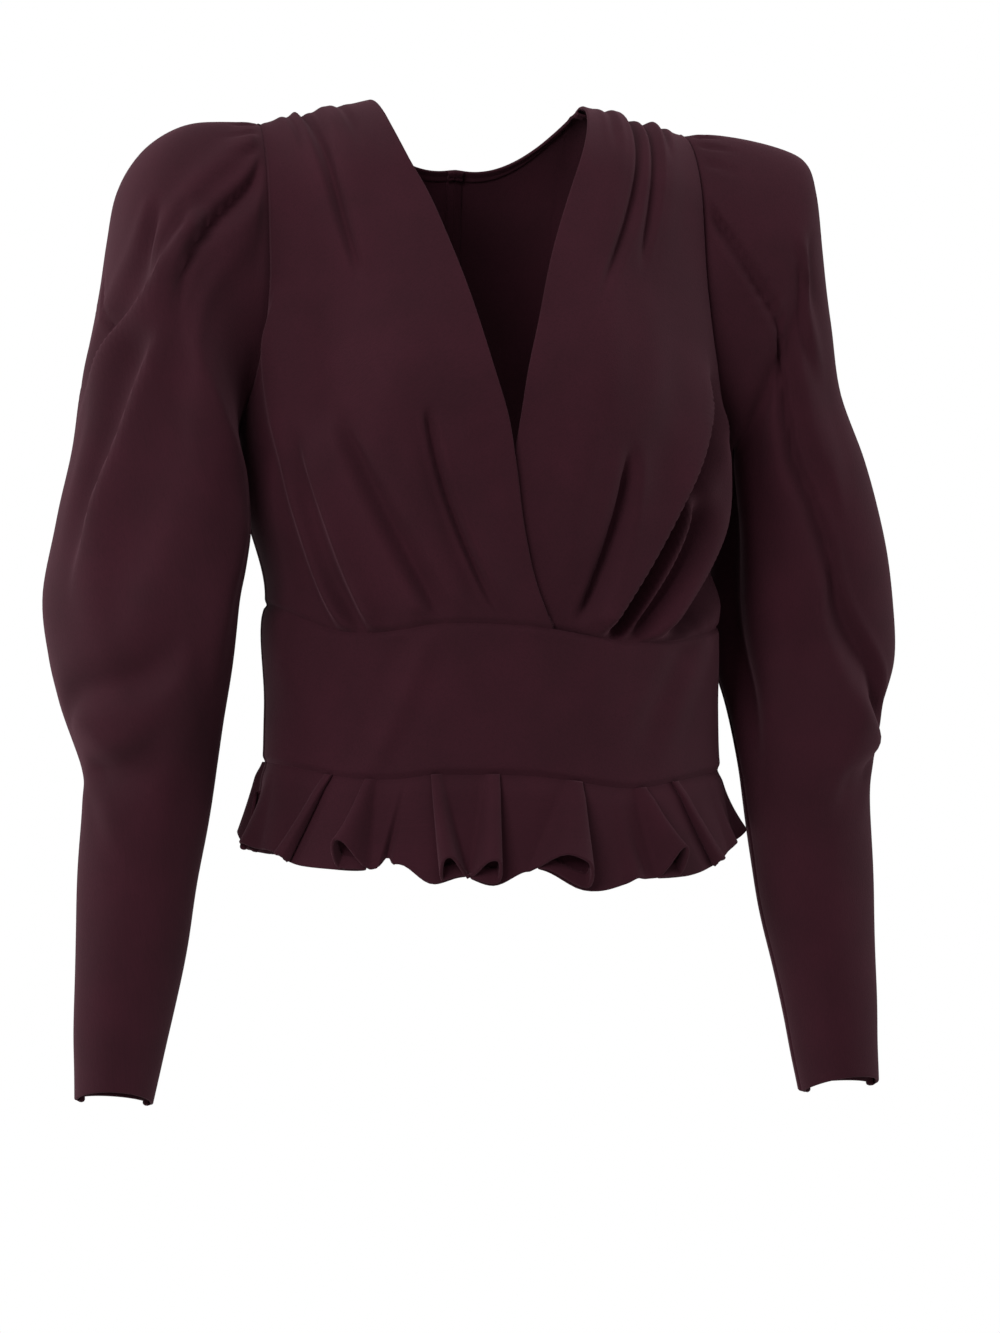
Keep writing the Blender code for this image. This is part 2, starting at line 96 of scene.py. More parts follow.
# Rounds of the body at a drop below the shoulders
Body = namedtuple("Body", "drop half_width front back across")
BODY = (
    Body(-20, 150, 72, 66, 0),
    Body(40, 150, 92, 80, 0),
    Body(110, 150, 110, 92, 1),
    Body(180, 150, 118, 92, 3),
    Body(250, 147, 112, 84, 6),
    Body(298, 139.5, 105, 78, 10),
    Body(322, 142, 102, 76, 10),
    Body(370, 141, 99, 78, 11),
    Body(413, 143, 101, 84, 11),
    Body(480, 156, 114, 98, 12),
)
Bust = namedtuple("Bust", "aside drop out wide high")
BUST = Bust(72, 190, 12, 46, 62)

# How far round the side the armhole and the side seam lie, from the front and from the back
Armhole = namedtuple("Armhole", "drop front back")
ARMHOLE = (
    Armhole(10, 62, 62),
    Armhole(40, 62, 60),
    Armhole(80, 62, 58),
    Armhole(120, 63, 60),
    Armhole(155, 68, 68),
    Armhole(185, 79, 80),
    Armhole(200, 90, 90),
)
UNDERARM_DROP = 200

# Forms and folds
# Sheets are grids of points, rows down and columns round to the left. These functions lay
# them on the body, raise folds on them and turn their edges under.

# Folds: a bent line through three places, how far each fold spreads to the low and the high
# side of it, its height (below 0 for a crease), and the share of the line over which it starts
# and ends
Fold = namedtuple("Fold", "x1 drop1 x2 drop2 x3 drop3 low high height start end")
FOLD_STEPS = 33
# The shallow hollow on each side of a fold, as shares of its height and spread
HOLLOW_DEEP, HOLLOW_PLACE, HOLLOW_WIDE = 0.22, 1.9, 0.9
SLACK_WIDE, SLACK_FINE = 0.55, 0.16
# Seams: how far in a turned layer lies, the gap between two pieces, how wide a turning is and
# how deep and how far in from a seam the cloth rolls
LAYER, SEAM_GAP = 2.0, 0.24
SEAM_TURNING, SEAM_DEPTH, SEAM_WIDE = 8, 1.6, 2.2
ALL_TURNED = (SEAM_TURNING, SEAM_TURNING, SEAM_TURNING, SEAM_TURNING)
# A turned edge: its bend in degrees, how far off it the flat rows start, about how many they
# are, and how gradually a side edge starts to turn below a seam that catches it
BENDS, CLEAR_OF_BEND, TURNED_ROWS, CAUGHT_FADE = (15, 45, 90, 135, 165), 0.8, 5, 5


def smooth(table, column, at):
    """One column of a table between its rows, as a smooth curve over the first column."""
    places = np.array([row[0] for row in table], float)
    values = np.array([getattr(row, column) for row in table], float)
    slopes = np.gradient(values, places)
    at = np.clip(np.asarray(at, float), places[0], places[-1])
    i = np.clip(np.searchsorted(places, at) - 1, 0, len(places) - 2)
    step = places[i + 1] - places[i]
    f = (at - places[i]) / step
    start = values[i] * (1 + 2 * f) * (1 - f) ** 2 + slopes[i] * step * f * (1 - f) ** 2
    end = values[i + 1] * f**2 * (3 - 2 * f) + slopes[i + 1] * step * f**2 * (f - 1)
    return start + end


def ramp(value):
    """0 below 0, 1 above 1, and smooth between."""
    value = np.clip(value, 0, 1)
    return value * value * (3 - 2 * value)


def shares(count, crowding=0.6):
    """Even shares from 0 to 1 that crowd together towards both ends."""
    share = np.linspace(0, 1, count)
    return share - crowding * np.sin(2 * pi * share) / (2 * pi)


def shoulder_drop(x):
    """Drop of the line of the shoulders over a place across the body."""
    fall = (SHOULDER_TIP[1] - SHOULDER_NECK[1]) / (SHOULDER_TIP[0] - SHOULDER_NECK[0])
    return SHOULDER_NECK[1] + fall * (np.abs(x) - SHOULDER_NECK[0])


def body_point(turn, drop):
    """Outer face of the cloth round the body, in mm."""
    sine, cosine = np.sin(np.radians(turn)), np.cos(np.radians(turn))
    half_width = smooth(BODY, "half_width", drop)
    depth = np.where(cosine > 0, smooth(BODY, "front", drop), smooth(BODY, "back", drop))
    power = 2 / SQUARENESS
    x = half_width * np.sign(sine) * np.abs(sine) ** power
    y = -depth * np.sign(cosine) * np.abs(cosine) ** power
    aside = (np.abs(x) - BUST.aside) / BUST.wide
    above = (drop - BUST.drop) / BUST.high
    y = y - BUST.out * np.exp(-(aside**2) - above**2) * ramp(cosine * 2)
    below = np.clip((drop - shoulder_drop(x)) / SHOULDER_ROUND, 0, 1)
    y = SHOULDER_BEHIND + (y - SHOULDER_BEHIND) * np.sqrt(1 - (1 - below) ** 2)
    return np.stack([x + smooth(BODY, "across", drop), y, -drop + 0 * x], axis=-1)


def turn_of(x, drop):
    """How far round the front a place across the body lies, in degrees."""
    share = (x - smooth(BODY, "across", drop)) / smooth(BODY, "half_width", drop)
    return np.sign(share) * np.degrees(np.arcsin(np.abs(share) ** (SQUARENESS / 2)))


def fall_of(length):
    """Drop below the shoulder line after a length of cloth over the round of the shoulder."""
    bend = np.minimum(length / SHOULDER_ROUND, pi / 2)
    return SHOULDER_ROUND * (1 - np.cos(bend)) + length - SHOULDER_ROUND * bend


def length_of(fall):
    """Length of cloth from the shoulder line to a drop below it."""
    bend = np.arccos(1 - np.clip(fall / SHOULDER_ROUND, 0, 1))
    return SHOULDER_ROUND * bend + np.maximum(fall - SHOULDER_ROUND, 0)


def unit(vectors):
    """The vectors at length 1."""
    return vectors / np.maximum(np.linalg.norm(vectors, axis=-1, keepdims=True), 1e-9)


def outward(grid):
    """Unit vectors square to a grid whose rows go down and whose columns go round to the left."""
    return unit(np.cross(np.gradient(grid, axis=0), np.gradient(grid, axis=1)))


def lengths(grid, axis):
    """Length of cloth from the first row, or the first column, to each point."""
    steps = np.linalg.norm(np.diff(grid, axis=axis), axis=2)
    start = np.zeros_like(np.take(steps, [0], axis=axis))
    return np.concatenate([start, np.cumsum(steps, axis=axis)], axis=axis)


def bent(first, middle, last, share):
    """Places along a line that bends through its middle."""
    bend = 2 * middle - (first + last) / 2
    return first * (1 - share) ** 2 + 2 * bend * share * (1 - share) + last * share**2


def folded(folds, across, along, mm_per_across=1.0):
    """Height of a sheet over its smooth form from all of its folds."""
    total = np.zeros(np.broadcast(across, along).shape)
    scale = np.asarray(mm_per_across) + 0 * total
    share = np.linspace(0, 1, FOLD_STEPS)
    for fold in folds:
        line_x = bent(fold.x1, fold.x2, fold.x3, share)
        line_drop = bent(fold.drop1, fold.drop2, fold.drop3, share)
        away = ((across[..., None] - line_x) * scale[..., None]) ** 2
        nearest = np.argmin(away + (along[..., None] - line_drop) ** 2, axis=-1)
        run_x = np.gradient(line_x)[nearest] * scale
        run_drop = np.gradient(line_drop)[nearest]
        run = np.hypot(run_x, run_drop)
        off_x = (across - line_x[nearest]) * scale
        off_drop = along - line_drop[nearest]
        beside = (off_x * run_drop - off_drop * run_x) / run
        place = share[nearest] + (off_x * run_x + off_drop * run_drop) / run**2 * share[1]
        fade = ramp(place / fold.start) * ramp((1 - place) / fold.end)
        spread = np.where(beside < 0, fold.low, fold.high)
        q = np.abs(beside) / spread
        hollow = HOLLOW_DEEP * np.exp(-(((q - HOLLOW_PLACE) / HOLLOW_WIDE) ** 2))
        total += fold.height * fade * (np.exp(-(q**2)) - hollow)
    return total


def slack(grid):
    """The last small unevenness of hanging cloth, the same for all pieces at one place: a wide
    and a fine pattern of waves, whose numbers are lengths in mm."""
    x, y, z = np.moveaxis(grid, -1, 0)
    wide = np.sin(x / 19 + 1.3 * np.sin(z / 37)) * np.sin(z / 29 + y / 33 + 0.7)
    fine = np.sin(z / 11 + 2 * np.sin(x / 23)) * np.sin(x / 9.5 - y / 13)
    return SLACK_WIDE * wide + SLACK_FINE * fine


def turning(distances, amount, end):
    """Rows of cloth turned under at one edge: (row, depth, how far past the edge)."""
    order = range(len(distances)) if end < 0 else range(len(distances) - 1, -1, -1)
    edge = distances[0] if end < 0 else distances[-1]
    inside = [i for i in order if CLEAR_OF_BEND < abs(distances[i] - edge) <= amount]
    kept = inside[:: max(1, len(inside) // TURNED_ROWS)]
    first = order[0]
    rows = [
        (first, LAYER / 2 * (1 - cos(radians(bend))), end * LAYER / 2 * sin(radians(bend)))
        for bend in BENDS
    ]
    return rows + [(first, LAYER, 0)] + [(i, LAYER, 0) for i in kept]


def turned_under(grid, top=0, bottom=0, first=0, last=0, flat_top=0):
    """The sheet with its edges turned under, by so many mm, as in a seam or a hem. Over the
    first flat_top mm the side edges lie flat, where they are caught in the seam above."""
    square = outward(grid)
    down, along = unit(np.gradient(grid, axis=0)), unit(np.gradient(grid, axis=1))
    far_down = lengths(grid, 0).mean(axis=1)
    far_along = lengths(grid, 1).mean(axis=0)

    def plan(distances, start, end):
        kept = [(i, 0, 0) for i in range(len(distances))]
        before = turning(distances, start, -1)[::-1] if start else []
        after = turning(distances, end, 1) if end else []
        return np.array(before + kept + after, float)

    rows, columns = plan(far_down, top, bottom), plan(far_along, first, last)
    i, j = rows[:, 0].astype(int)[:, None], columns[:, 0].astype(int)[None, :]
    free = ramp((far_down[i] - flat_top) / CAUGHT_FADE) if flat_top else np.ones(i.shape)
    depth = rows[:, 1][:, None] + free * columns[:, 1][None, :]
    moved = grid[i, j] - square[i, j] * depth[..., None]
    moved = moved + down[i, j] * rows[:, 2][:, None, None]
    return moved + along[i, j] * (free * columns[:, 2][None, :])[..., None]


def from_edges(grid, top, bottom, first, last):
    """Each point's distance from the edges that have a width, and that width, in mm."""
    far_down, far_along = lengths(grid, 0), lengths(grid, 1)
    distances = (far_down, far_down[-1:] - far_down, far_along, far_along[:, -1:] - far_along)
    return [(far, width) for far, width in zip(distances, (top, bottom, first, last)) if width]


def seam_dip(grid, top=0, bottom=0, first=0, last=0):
    """Depth to which the cloth rolls into the seams at its edges, over the widths given."""
    edges = from_edges(grid, top, bottom, first, last)
    return sum(SEAM_DEPTH * np.exp(-((far / width) ** 2)) for far, width in edges)


def settled(grid, top=0, bottom=0, first=0, last=0):
    """1 in the middle of a sheet, fading to 0 at its edges over the widths given."""
    return prod(ramp(far / width) for far, width in from_edges(grid, top, bottom, first, last))


def warped(turn, drop):
    """Drops drawn towards the curved seam at the top of the band."""
    return drop + (smooth(LEVELS, "band_top", turn) - BAND_TOP) * ramp(
        (drop - WARP_START) / (BAND_TOP - WARP_START)
    )


def hanging(rows, first_length, x):
    """Drops of columns of cloth that go over the shoulder and down to the band."""
    top_line = shoulder_drop(x)
    last_length = length_of(BAND_TOP - top_line)
    share = shares(rows)[:, None]
    return top_line + fall_of(first_length + (last_length - first_length) * share)


# The crepe
# A matt dark wine cloth of tightly twisted yarn. Two functions come first: one turns a colour
# code into a scene-linear colour, the other sets up a node, here and for the stitches.
def linear(code):
    """Scene-linear colour of an sRGB hex value."""
    parts = [int(code[i : i + 2], 16) / 255 for i in (1, 3, 5)]
    return [p / 12.92 if p <= 0.04045 else ((p + 0.055) / 1.055) ** 2.4 for p in parts] + [1]


def add(tree, kind, settings=(), **links):
    """A node with its settings, and its inputs set to values or linked from other nodes. An
    input goes by its name, or by its number after an underscore."""
    node = tree.nodes.new(kind)
    for name, value in dict(settings).items():
        setattr(node, name, value)
    for name, value in links.items():
        socket = node.inputs[int(name[1:]) if name[0] == "_" else name.replace("_", " ")]
        if isinstance(value, bpy.types.NodeSocket):
            tree.links.new(value, socket)
        else:
            socket.default_value = value
    return node


def wine_crepe():
    """Matt crepe, woven of tightly twisted yarn: a dark wine ground with a dry, pebbled face
    that scatters light, painted lighter on its pebbles' tops and darker in their dents as
    painted light and shade, and a faint rosy bloom where it is seen edge on."""
    material = bpy.data.materials.new("wine_crepe")
    material.use_nodes = True
    tree = material.node_tree
    surface = tree.nodes["Principled BSDF"]
    cloth = add(tree, "ShaderNodeUVMap", {"uv_map": "cloth"}).outputs["UV"]
    place = add(tree, "ShaderNodeTexCoord").outputs["Object"]
    # pebbles of 0.9 mm and twisted threads of 0.5 mm; the bloom varies over 30 to 60 mm
    pebble = add(
        tree, "ShaderNodeTexVoronoi", {"feature": "SMOOTH_F1"},
        Vector=cloth, Scale=1100.0, Smoothness=0.7, Randomness=1.0,
    )
    thread = add(tree, "ShaderNodeTexNoise", Vector=cloth, Scale=1900.0, Detail=3.0)
    dye = add(tree, "ShaderNodeTexNoise", Vector=place, Scale=24.0, Detail=2.0)
    pebble_relief = add(
        tree, "ShaderNodeMix", {"data_type": "FLOAT"},
        _0=0.45, _2=pebble.outputs["Distance"], _3=thread.outputs["Fac"],
    )
    # painted light and shade: the raised pebble tops are painted up to 14% lighter and the dents
    # between them up to 14% darker
    painted_pebble_shade = add(
        tree, "ShaderNodeMapRange",
        Value=pebble_relief.outputs[0], From_Min=0.2, From_Max=0.8, To_Min=1.14, To_Max=0.86,
    )
    tone = add(tree, "ShaderNodeValToRGB", Fac=dye.outputs["Fac"])
    for stop, position, code in zip(tone.color_ramp.elements, (0.35, 0.7), ("#2c0f18", "#31111b")):
        stop.position = position
        stop.color = linear(code)
    colour = add(
        tree, "ShaderNodeVectorMath", {"operation": "SCALE"},
        _0=tone.outputs["Color"], Scale=painted_pebble_shade.outputs["Result"],
    )
    tree.links.new(colour.outputs["Vector"], surface.inputs["Base Color"])
    relief = add(
        tree, "ShaderNodeBump", {"invert": True},
        Strength=0.55, Distance=0.0003, Height=pebble_relief.outputs[0],
    )
    tree.links.new(relief.outputs["Normal"], surface.inputs["Normal"])
    surface.inputs["Roughness"].default_value = 0.88
    surface.inputs["Specular IOR Level"].default_value = 0.14
    surface.inputs["Sheen Weight"].default_value = 0.13
    surface.inputs["Sheen Roughness"].default_value = 0.45
    surface.inputs["Sheen Tint"].default_value = linear("#c88a9c")
    return material


crepe = wine_crepe()

# Sewn pieces
# Every piece is a thin sheet with a wall inwards. Its cut says the flat size it had before it
# was sewn, in metres, and how it is held; hem lines are kept until all the pieces are made.
WALL = 0.9
Cut = namedtuple("Cut", "flat area held")
# Hem stitches: from one to the next, their length and thickness, and where they stop short
STITCH_SPACING, STITCH_LONG, STITCH_THICK, HEM_END = 7, 2.6, 0.45, 10
hem_paths = []


def hem_line(grid, amount):
    """The line inside the cloth along which a hem of so many mm is sewn down."""
    far = lengths(grid, 0).mean(axis=1)
    row = int(np.abs(far[-1] - amount - far).argmin())
    ends = int(HEM_END / max(lengths(grid, 1)[row, -1], 1) * grid.shape[1]) + 1
    line = grid[row] - outward(grid)[row] * (LAYER + STITCH_THICK / 4)
    return line[ends:-ends]


def cloth_piece(name, grid):
    """A sewn piece from its grid in mm: a thin sheet with the cloth's own measure as its UV
    map and a wall inwards, in the crepe and attached to the root body."""
    rows, columns = grid.shape[:2]
    corner = np.arange(rows * columns).reshape(rows, columns)
    faces = np.stack(
        [corner[:-1, :-1], corner[1:, :-1], corner[1:, 1:], corner[:-1, 1:]], axis=-1
    ).reshape(-1, 4)
    mesh = bpy.data.meshes.new(name)
    mesh.from_pydata((grid.reshape(-1, 3) / 1000).tolist(), [], faces.tolist())
    measure = np.stack([lengths(grid, 1), lengths(grid, 0)], axis=-1).reshape(-1, 2) / 1000
    corners = np.zeros(len(mesh.loops), np.int32)
    mesh.loops.foreach_get("vertex_index", corners)
    layer = mesh.uv_layers.new(name="cloth")
    layer.data.foreach_set("uv", measure[corners].ravel())
    mesh.materials.append(crepe)
    mesh.shade_smooth()
    piece = bpy.data.objects.new(name, mesh)
    bpy.context.scene.collection.objects.link(piece)
    wall = piece.modifiers.new("wall", "SOLIDIFY")
    wall.thickness = WALL / 1000
    wall.offset = -1
    wall.use_rim = True
    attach(piece, "root")
    return piece


def sew(node, form, height, turnings, hem=0):
    """The piece that stands for a node, from its smooth form, its heights over that and how
    far its edges are turned under; a hem of so many mm is kept for its stitches."""
    grid = form + outward(form) * height[..., None]
    if hem:
        hem_paths.append(hem_line(grid, hem))
    piece = cloth_piece(node + "_crepe", turned_under(grid, *turnings))
    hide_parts(node)

# The two fronts
# The crepe in two halves. Each is gathered into the shoulder seam above and into the band
# below; the right one laps over the left, and both slanting neck edges are turned under once.
FRONT_ROWS, FRONT_COLUMNS = 158, 128
NECK_TURNING, SIDE_FADE = 11, 9
# The under front beneath the over one: how far in it lies, the width over which it comes out
# and how many such widths it reaches past the edge, then the drop where this starts and how
# gradually
UNDERLAP_INSET, UNDERLAP_FADE, UNDERLAP_REACH = 4.2, 28, 1.15
UNDERLAP_START, UNDERLAP_RISE = 150, 60
# How a seam holds gathers: the share of a fold's height left beside it, the width over which
# the fold grows to all of its height, the width that the stitches flatten and how sharply
Held = namedtuple("Held", "share within sewn sharp")
BY_BAND, BY_SHOULDER = Held(0.35, 14, 5, 0.5), Held(0.3, 22, 4, 1)
# Small puckers beside the band: their height, step and reach, and how they drift
PUCKER_HIGH, PUCKER_STEP, PUCKER_REACH, PUCKER_START = 0.35, 1.55, 7, 3
DRIFT_WIDE, DRIFT_STEP = 1.5, 7.3

# The slanting neck edges of the over and the under front
Edge = namedtuple("Edge", "drop over under")
NECK_EDGE = (
    Edge(-5, -67, 67),
    Edge(22, -62, 58),
    Edge(43, -55, 50),
    Edge(61, -46, 43),
    Edge(99, -31, 30),
    Edge(141, -17, 20),
    Edge(171, -8, 13),
    Edge(198, 0, 9),
    Edge(226, 5, 5),
    Edge(264, 11, -5),
    Edge(299, 20, -14),
    Edge(322, 30, -20),
)
OVER_FOLDS = (
    Fold(-111, -6, -94, 78, -83, 119, 2.2, 3.4, -4.2, 0.02, 0.35),
    Fold(-118, -6, -104, 70, -93, 128, 9, 6, 2.4, 0.05, 0.5),
    Fold(-96, -6, -86, 60, -76, 112, 6, 9, 1.8, 0.05, 0.5),
    Fold(-121, -6, -114, 22, -110, 50, 2.6, 3, -2.2, 0.02, 0.5),
    Fold(-103, -6, -99, 18, -96, 40, 2.5, 2.5, -1.8, 0.02, 0.5),
    Fold(-88, -6, -84, 16, -81, 42, 2.5, 3, -1.5, 0.02, 0.6),
    Fold(-126, 112, -127, 203, -84, 336, 4, 11, 7.5, 0.3, 0.05),
    Fold(-119, 215, -104, 275, -75, 336, 3.6, 4.4, -6.5, 0.3, 0.03),
    Fold(-116, 192, -99, 255, -68, 336, 3.4, 9, 7.5, 0.35, 0.03),
    Fold(-106, 190, -84, 245, -40, 326, 13, 3.6, 6.0, 0.3, 0.1),
    Fold(-99, 196, -75, 245, -31, 324, 2.4, 7, -4.0, 0.35, 0.15),
    Fold(-49, 192, -33, 250, 2, 322, 1.8, 3.2, -5.2, 0.12, 0.25),
    Fold(-40, 195, -23, 250, 8, 322, 7, 9, 3.0, 0.25, 0.2),
    Fold(-60, 205, -44, 262, -14, 325, 9, 6, 2.2, 0.3, 0.2),
)
UNDER_FOLDS = (
    Fold(106, -6, 96, 64, 83, 110, 3.4, 2.2, -4.0, 0.02, 0.35),
    Fold(92, -6, 83, 60, 50, 138, 2.4, 3.4, -4.0, 0.02, 0.3),
    Fold(114, -6, 105, 60, 95, 118, 6, 8, 2.0, 0.05, 0.5),
    Fold(84, -6, 72, 60, 44, 122, 8, 7, 2.0, 0.05, 0.5),
    Fold(120, -6, 113, 18, 109, 44, 2.5, 2.6, -2.0, 0.02, 0.5),
    Fold(99, -6, 95, 18, 91, 44, 2.5, 2.5, -1.8, 0.02, 0.5),
    Fold(80, -6, 76, 18, 72, 38, 2.5, 2.5, -1.5, 0.02, 0.5),
    Fold(75, 210, 67, 262, 45, 322, 2.6, 4.4, -6.5, 0.3, 0.15),
    Fold(67, 202, 57, 262, 35, 326, 10, 4, 2.8, 0.3, 0.1),
    Fold(84, 205, 78, 262, 54, 326, 5, 9, 3.2, 0.3, 0.1),
    Fold(129, 150, 112, 228, 50, 338, 13, 4.0, 8.5, 0.35, 0.02),
    Fold(137, 165, 121, 235, 61, 338, 4.6, 6, -13, 0.3, 0.02),
    Fold(124, 230, 108, 272, 66, 338, 2.6, 3.2, 5.0, 0.3, 0.05),
    Fold(129, 236, 115, 280, 73, 338, 4, 4.5, -12, 0.3, 0.05),
    Fold(134, 165, 142, 244, 84, 338, 9, 4.5, 6.5, 0.35, 0.02),
    Fold(142, 190, 148, 260, 100, 338, 5, 9, -13, 0.35, 0.05),
    Fold(52, 188, 42, 255, 20, 332, 10, 8, 3.0, 0.35, 0.15),
    Fold(58, 90, 62, 160, 58, 240, 12, 9, 1.3, 0.5, 0.5),
    Fold(84, 110, 92, 170, 88, 232, 12, 10, 1.4, 0.5, 0.5),
)


def front_form(side, column):
    """Smooth form of one front, between its neck edge and its armhole and side seam."""
    share = shares(FRONT_COLUMNS)
    neck_turn = abs(turn_of(SHOULDER_NECK[0], 0.0))
    top_turn = neck_turn + (ARMHOLE[0].front - neck_turn) * share
    top_x = BODY[0].half_width * np.sin(np.radians(top_turn)) ** (2 / SQUARENESS)
    drop = hanging(FRONT_ROWS, 0.0, top_x)
    edge_turn = turn_of(smooth(NECK_EDGE, column, drop[:, :1]), drop[:, :1])
    side_turn = side * smooth(ARMHOLE, "front", drop)
    turn = edge_turn + (side_turn - edge_turn) * share
    grid = body_point(turn, warped(turn, drop))
    grid[..., 1] -= SEAM_GAP / 2
    return grid if side > 0 else grid[:, ::-1]


def lap(grid):
    """1 where the left front lies under the right one, fading to 0 beyond its edge."""
    past = grid[..., 0] - smooth(NECK_EDGE, "over", -grid[..., 2])
    started = ramp((-grid[..., 2] - UNDERLAP_START) / UNDERLAP_RISE)
    return ramp(UNDERLAP_REACH - past / UNDERLAP_FADE) * started


def held(far, seam):
    """Share of a fold's height at a distance from a seam that holds it."""
    flat = ramp(far / seam.sewn) ** seam.sharp
    return (seam.share + (1 - seam.share) * ramp(far / seam.within)) * flat


def gathered(folds, grid):
    """Heights of a front's folds, drawn in where it is sewn to the shoulder and the band,
    with the small puckers that gathering leaves beside the seam."""
    far = lengths(grid, 0)
    below = far[-1:] - far
    height = folded(folds, grid[..., 0], -grid[..., 2])
    height = height * held(below, BY_BAND) * held(far, BY_SHOULDER)
    drift = DRIFT_WIDE * np.sin(grid[..., 0] / DRIFT_STEP)
    pucker = PUCKER_HIGH * np.sin(grid[..., 0] / PUCKER_STEP + drift)
    return height + pucker * np.exp(-below / PUCKER_REACH) * ramp(below / PUCKER_START)


over_form = front_form(-1, "over")
over_height = gathered(OVER_FOLDS, over_form) + slack(over_form)
over_height *= settled(over_form, first=SIDE_FADE)
over_height -= seam_dip(over_form, SEAM_WIDE, SEAM_WIDE, SEAM_WIDE, 0)
under_form = front_form(1, "under")
lapped = lap(under_form)
under_height = (gathered(UNDER_FOLDS, under_form) + slack(under_form)) * (1 - lapped)
under_height += gathered(OVER_FOLDS, under_form) * lapped - UNDERLAP_INSET * lapped
under_height *= settled(under_form, last=SIDE_FADE)
under_height -= seam_dip(under_form, SEAM_WIDE, SEAM_WIDE, 0, SEAM_WIDE)
neck_last = (SEAM_TURNING, SEAM_TURNING, SEAM_TURNING, NECK_TURNING)
neck_first = (SEAM_TURNING, SEAM_TURNING, NECK_TURNING, SEAM_TURNING)
sew("front_right", over_form, over_height, neck_last)
sew("front_left", under_form, under_height, neck_first)

# The two backs
# The same crepe in two plain halves, joined down the centre back. They run over the shoulders
# to the shoulder seams, and the back neck edge between those is turned under.
BACK_NECK_DROP = 24
BACK_TOP_FADE, BACK_FADE = 6, 8
# The folds of the right and the left back differ: moved across, and their share of the height
Uneven = namedtuple("Uneven", "across share")
UNEVEN_RIGHT, UNEVEN_LEFT = Uneven(-4, 1.0), Uneven(4, 0.85)
BACK_ROWS, BACK_COLUMNS = 120, 84
BACK_FOLDS = (
    Fold(24, 262, 30, 296, 26, 330, 7, 9, 1.8, 0.4, 0.1),
    Fold(62, 240, 56, 286, 48, 330, 8, 6, 2.2, 0.4, 0.1),
    Fold(98, 232, 90, 280, 76, 330, 8, 10, 2.4, 0.4, 0.1),
    Fold(122, 214, 118, 268, 106, 330, 6, 8, 2.2, 0.4, 0.1),
    Fold(118, 40, 106, 96, 84, 150, 9, 6, 2.0, 0.4, 0.5),
    Fold(126, 92, 116, 142, 92, 188, 6, 9, 1.8, 0.4, 0.5),
    Fold(104, -6, 98, 30, 94, 60, 4, 5, -1.6, 0.05, 0.6),
    Fold(84, -6, 82, 26, 78, 50, 4, 5, -1.3, 0.05, 0.6),
)


def back_form(side):
    """Smooth form of one back, from the centre back seam to its armhole and side seam."""
    neck_turn = turn_of(SHOULDER_NECK[0], 0.0)
    tip_turn = ARMHOLE[0].back
    over_neck = BACK_COLUMNS // 2
    spread = np.concatenate(
        [
            np.linspace(0, neck_turn, over_neck),
            np.linspace(neck_turn, tip_turn, BACK_COLUMNS - over_neck + 1)[1:],
        ]
    )
    top_x = BODY[0].half_width * np.sin(np.radians(spread)) ** (2 / SQUARENESS)
    dip = np.clip(1 - (top_x / SHOULDER_NECK[0]) ** 2, 0, 1)
    first_length = length_of((BACK_NECK_DROP - shoulder_drop(0)) * dip)
    drop = hanging(BACK_ROWS, first_length, top_x)
    turn = side * (180 - spread / tip_turn * smooth(ARMHOLE, "back", drop))
    grid = body_point(turn, warped(turn, drop))
    grid[..., 0] += side * SEAM_GAP / 2
    grid[..., 1] += SEAM_GAP / 2
    return grid if side < 0 else grid[:, ::-1]


for name, side, uneven in (("back_right", -1, UNEVEN_RIGHT), ("back_left", 1, UNEVEN_LEFT)):
    form = back_form(side)
    aside = np.abs(form[..., 0]) + uneven.across
    height = folded(BACK_FOLDS, aside, -form[..., 2]) * uneven.share + slack(form)
    height *= settled(form, BACK_TOP_FADE, BACK_FADE, BACK_FADE, BACK_FADE)
    height -= seam_dip(form, SEAM_WIDE, SEAM_WIDE, SEAM_WIDE, SEAM_WIDE)
    sew(name, form, height, ALL_TURNED)

# The band
# A wide smooth waist band in three pieces, cut in a curve that dips at the sides and rises at
# the middle of the front. It holds in the gathers above and the pleats below.
BAND_FRONT_CUT = Cut((0.36, 0.13), 0.043, "stretched")
BAND_BACK_CUT = Cut((0.17, 0.12), 0.019, "stretched")
BAND_ROWS, BAND_CROWDING, BAND_FADE = 36, 0.4, 8
BAND_TOP_WIDE, BAND_BOTTOM_WIDE = 1.6, 2.0
# Shares of the folds' height at the back and of the slack in the whole stretched band
BAND_BACK_SHARE, BAND_SLACK = 0.5, 0.8
BAND_FOLDS = (
    Fold(-40, 318, -58, 362, -82, 416, 10, 6, 2.6, 0.2, 0.25),
    Fold(-52, 318, -72, 366, -96, 416, 6, 9, -1.6, 0.2, 0.25),
    Fold(124, 318, 104, 357, 76, 408, 7, 8, -2.2, 0.1, 0.4),
    Fold(134, 318, 118, 360, 94, 412, 8, 7, 2.0, 0.1, 0.4),
    Fold(-128, 306, -120, 350, -98, 396, 7, 9, 1.5, 0.1, 0.5),
    Fold(52, 322, 60, 360, 62, 400, 12, 14, 0.9, 0.3, 0.5),
)


def round_form(turn, upper, lower, share):
    """A sheet laid round the body between two of the levels."""
    start = smooth(LEVELS, upper, turn) + SEAM_GAP / 2
    end = smooth(LEVELS, lower, turn) - SEAM_GAP / 2
    return body_point(turn + 0 * share, start + (end - start) * share)


def parted(grid, first, last):
    """A front or a back piece moved half a gap off its neighbours at the side and centre."""
    if first < 0 < last:
        grid[..., 1] -= SEAM_GAP / 2
        return grid
    grid[..., 1] += SEAM_GAP / 2
    grid[..., 0] += (1 if first > 0 else -1) * SEAM_GAP / 2
    return grid


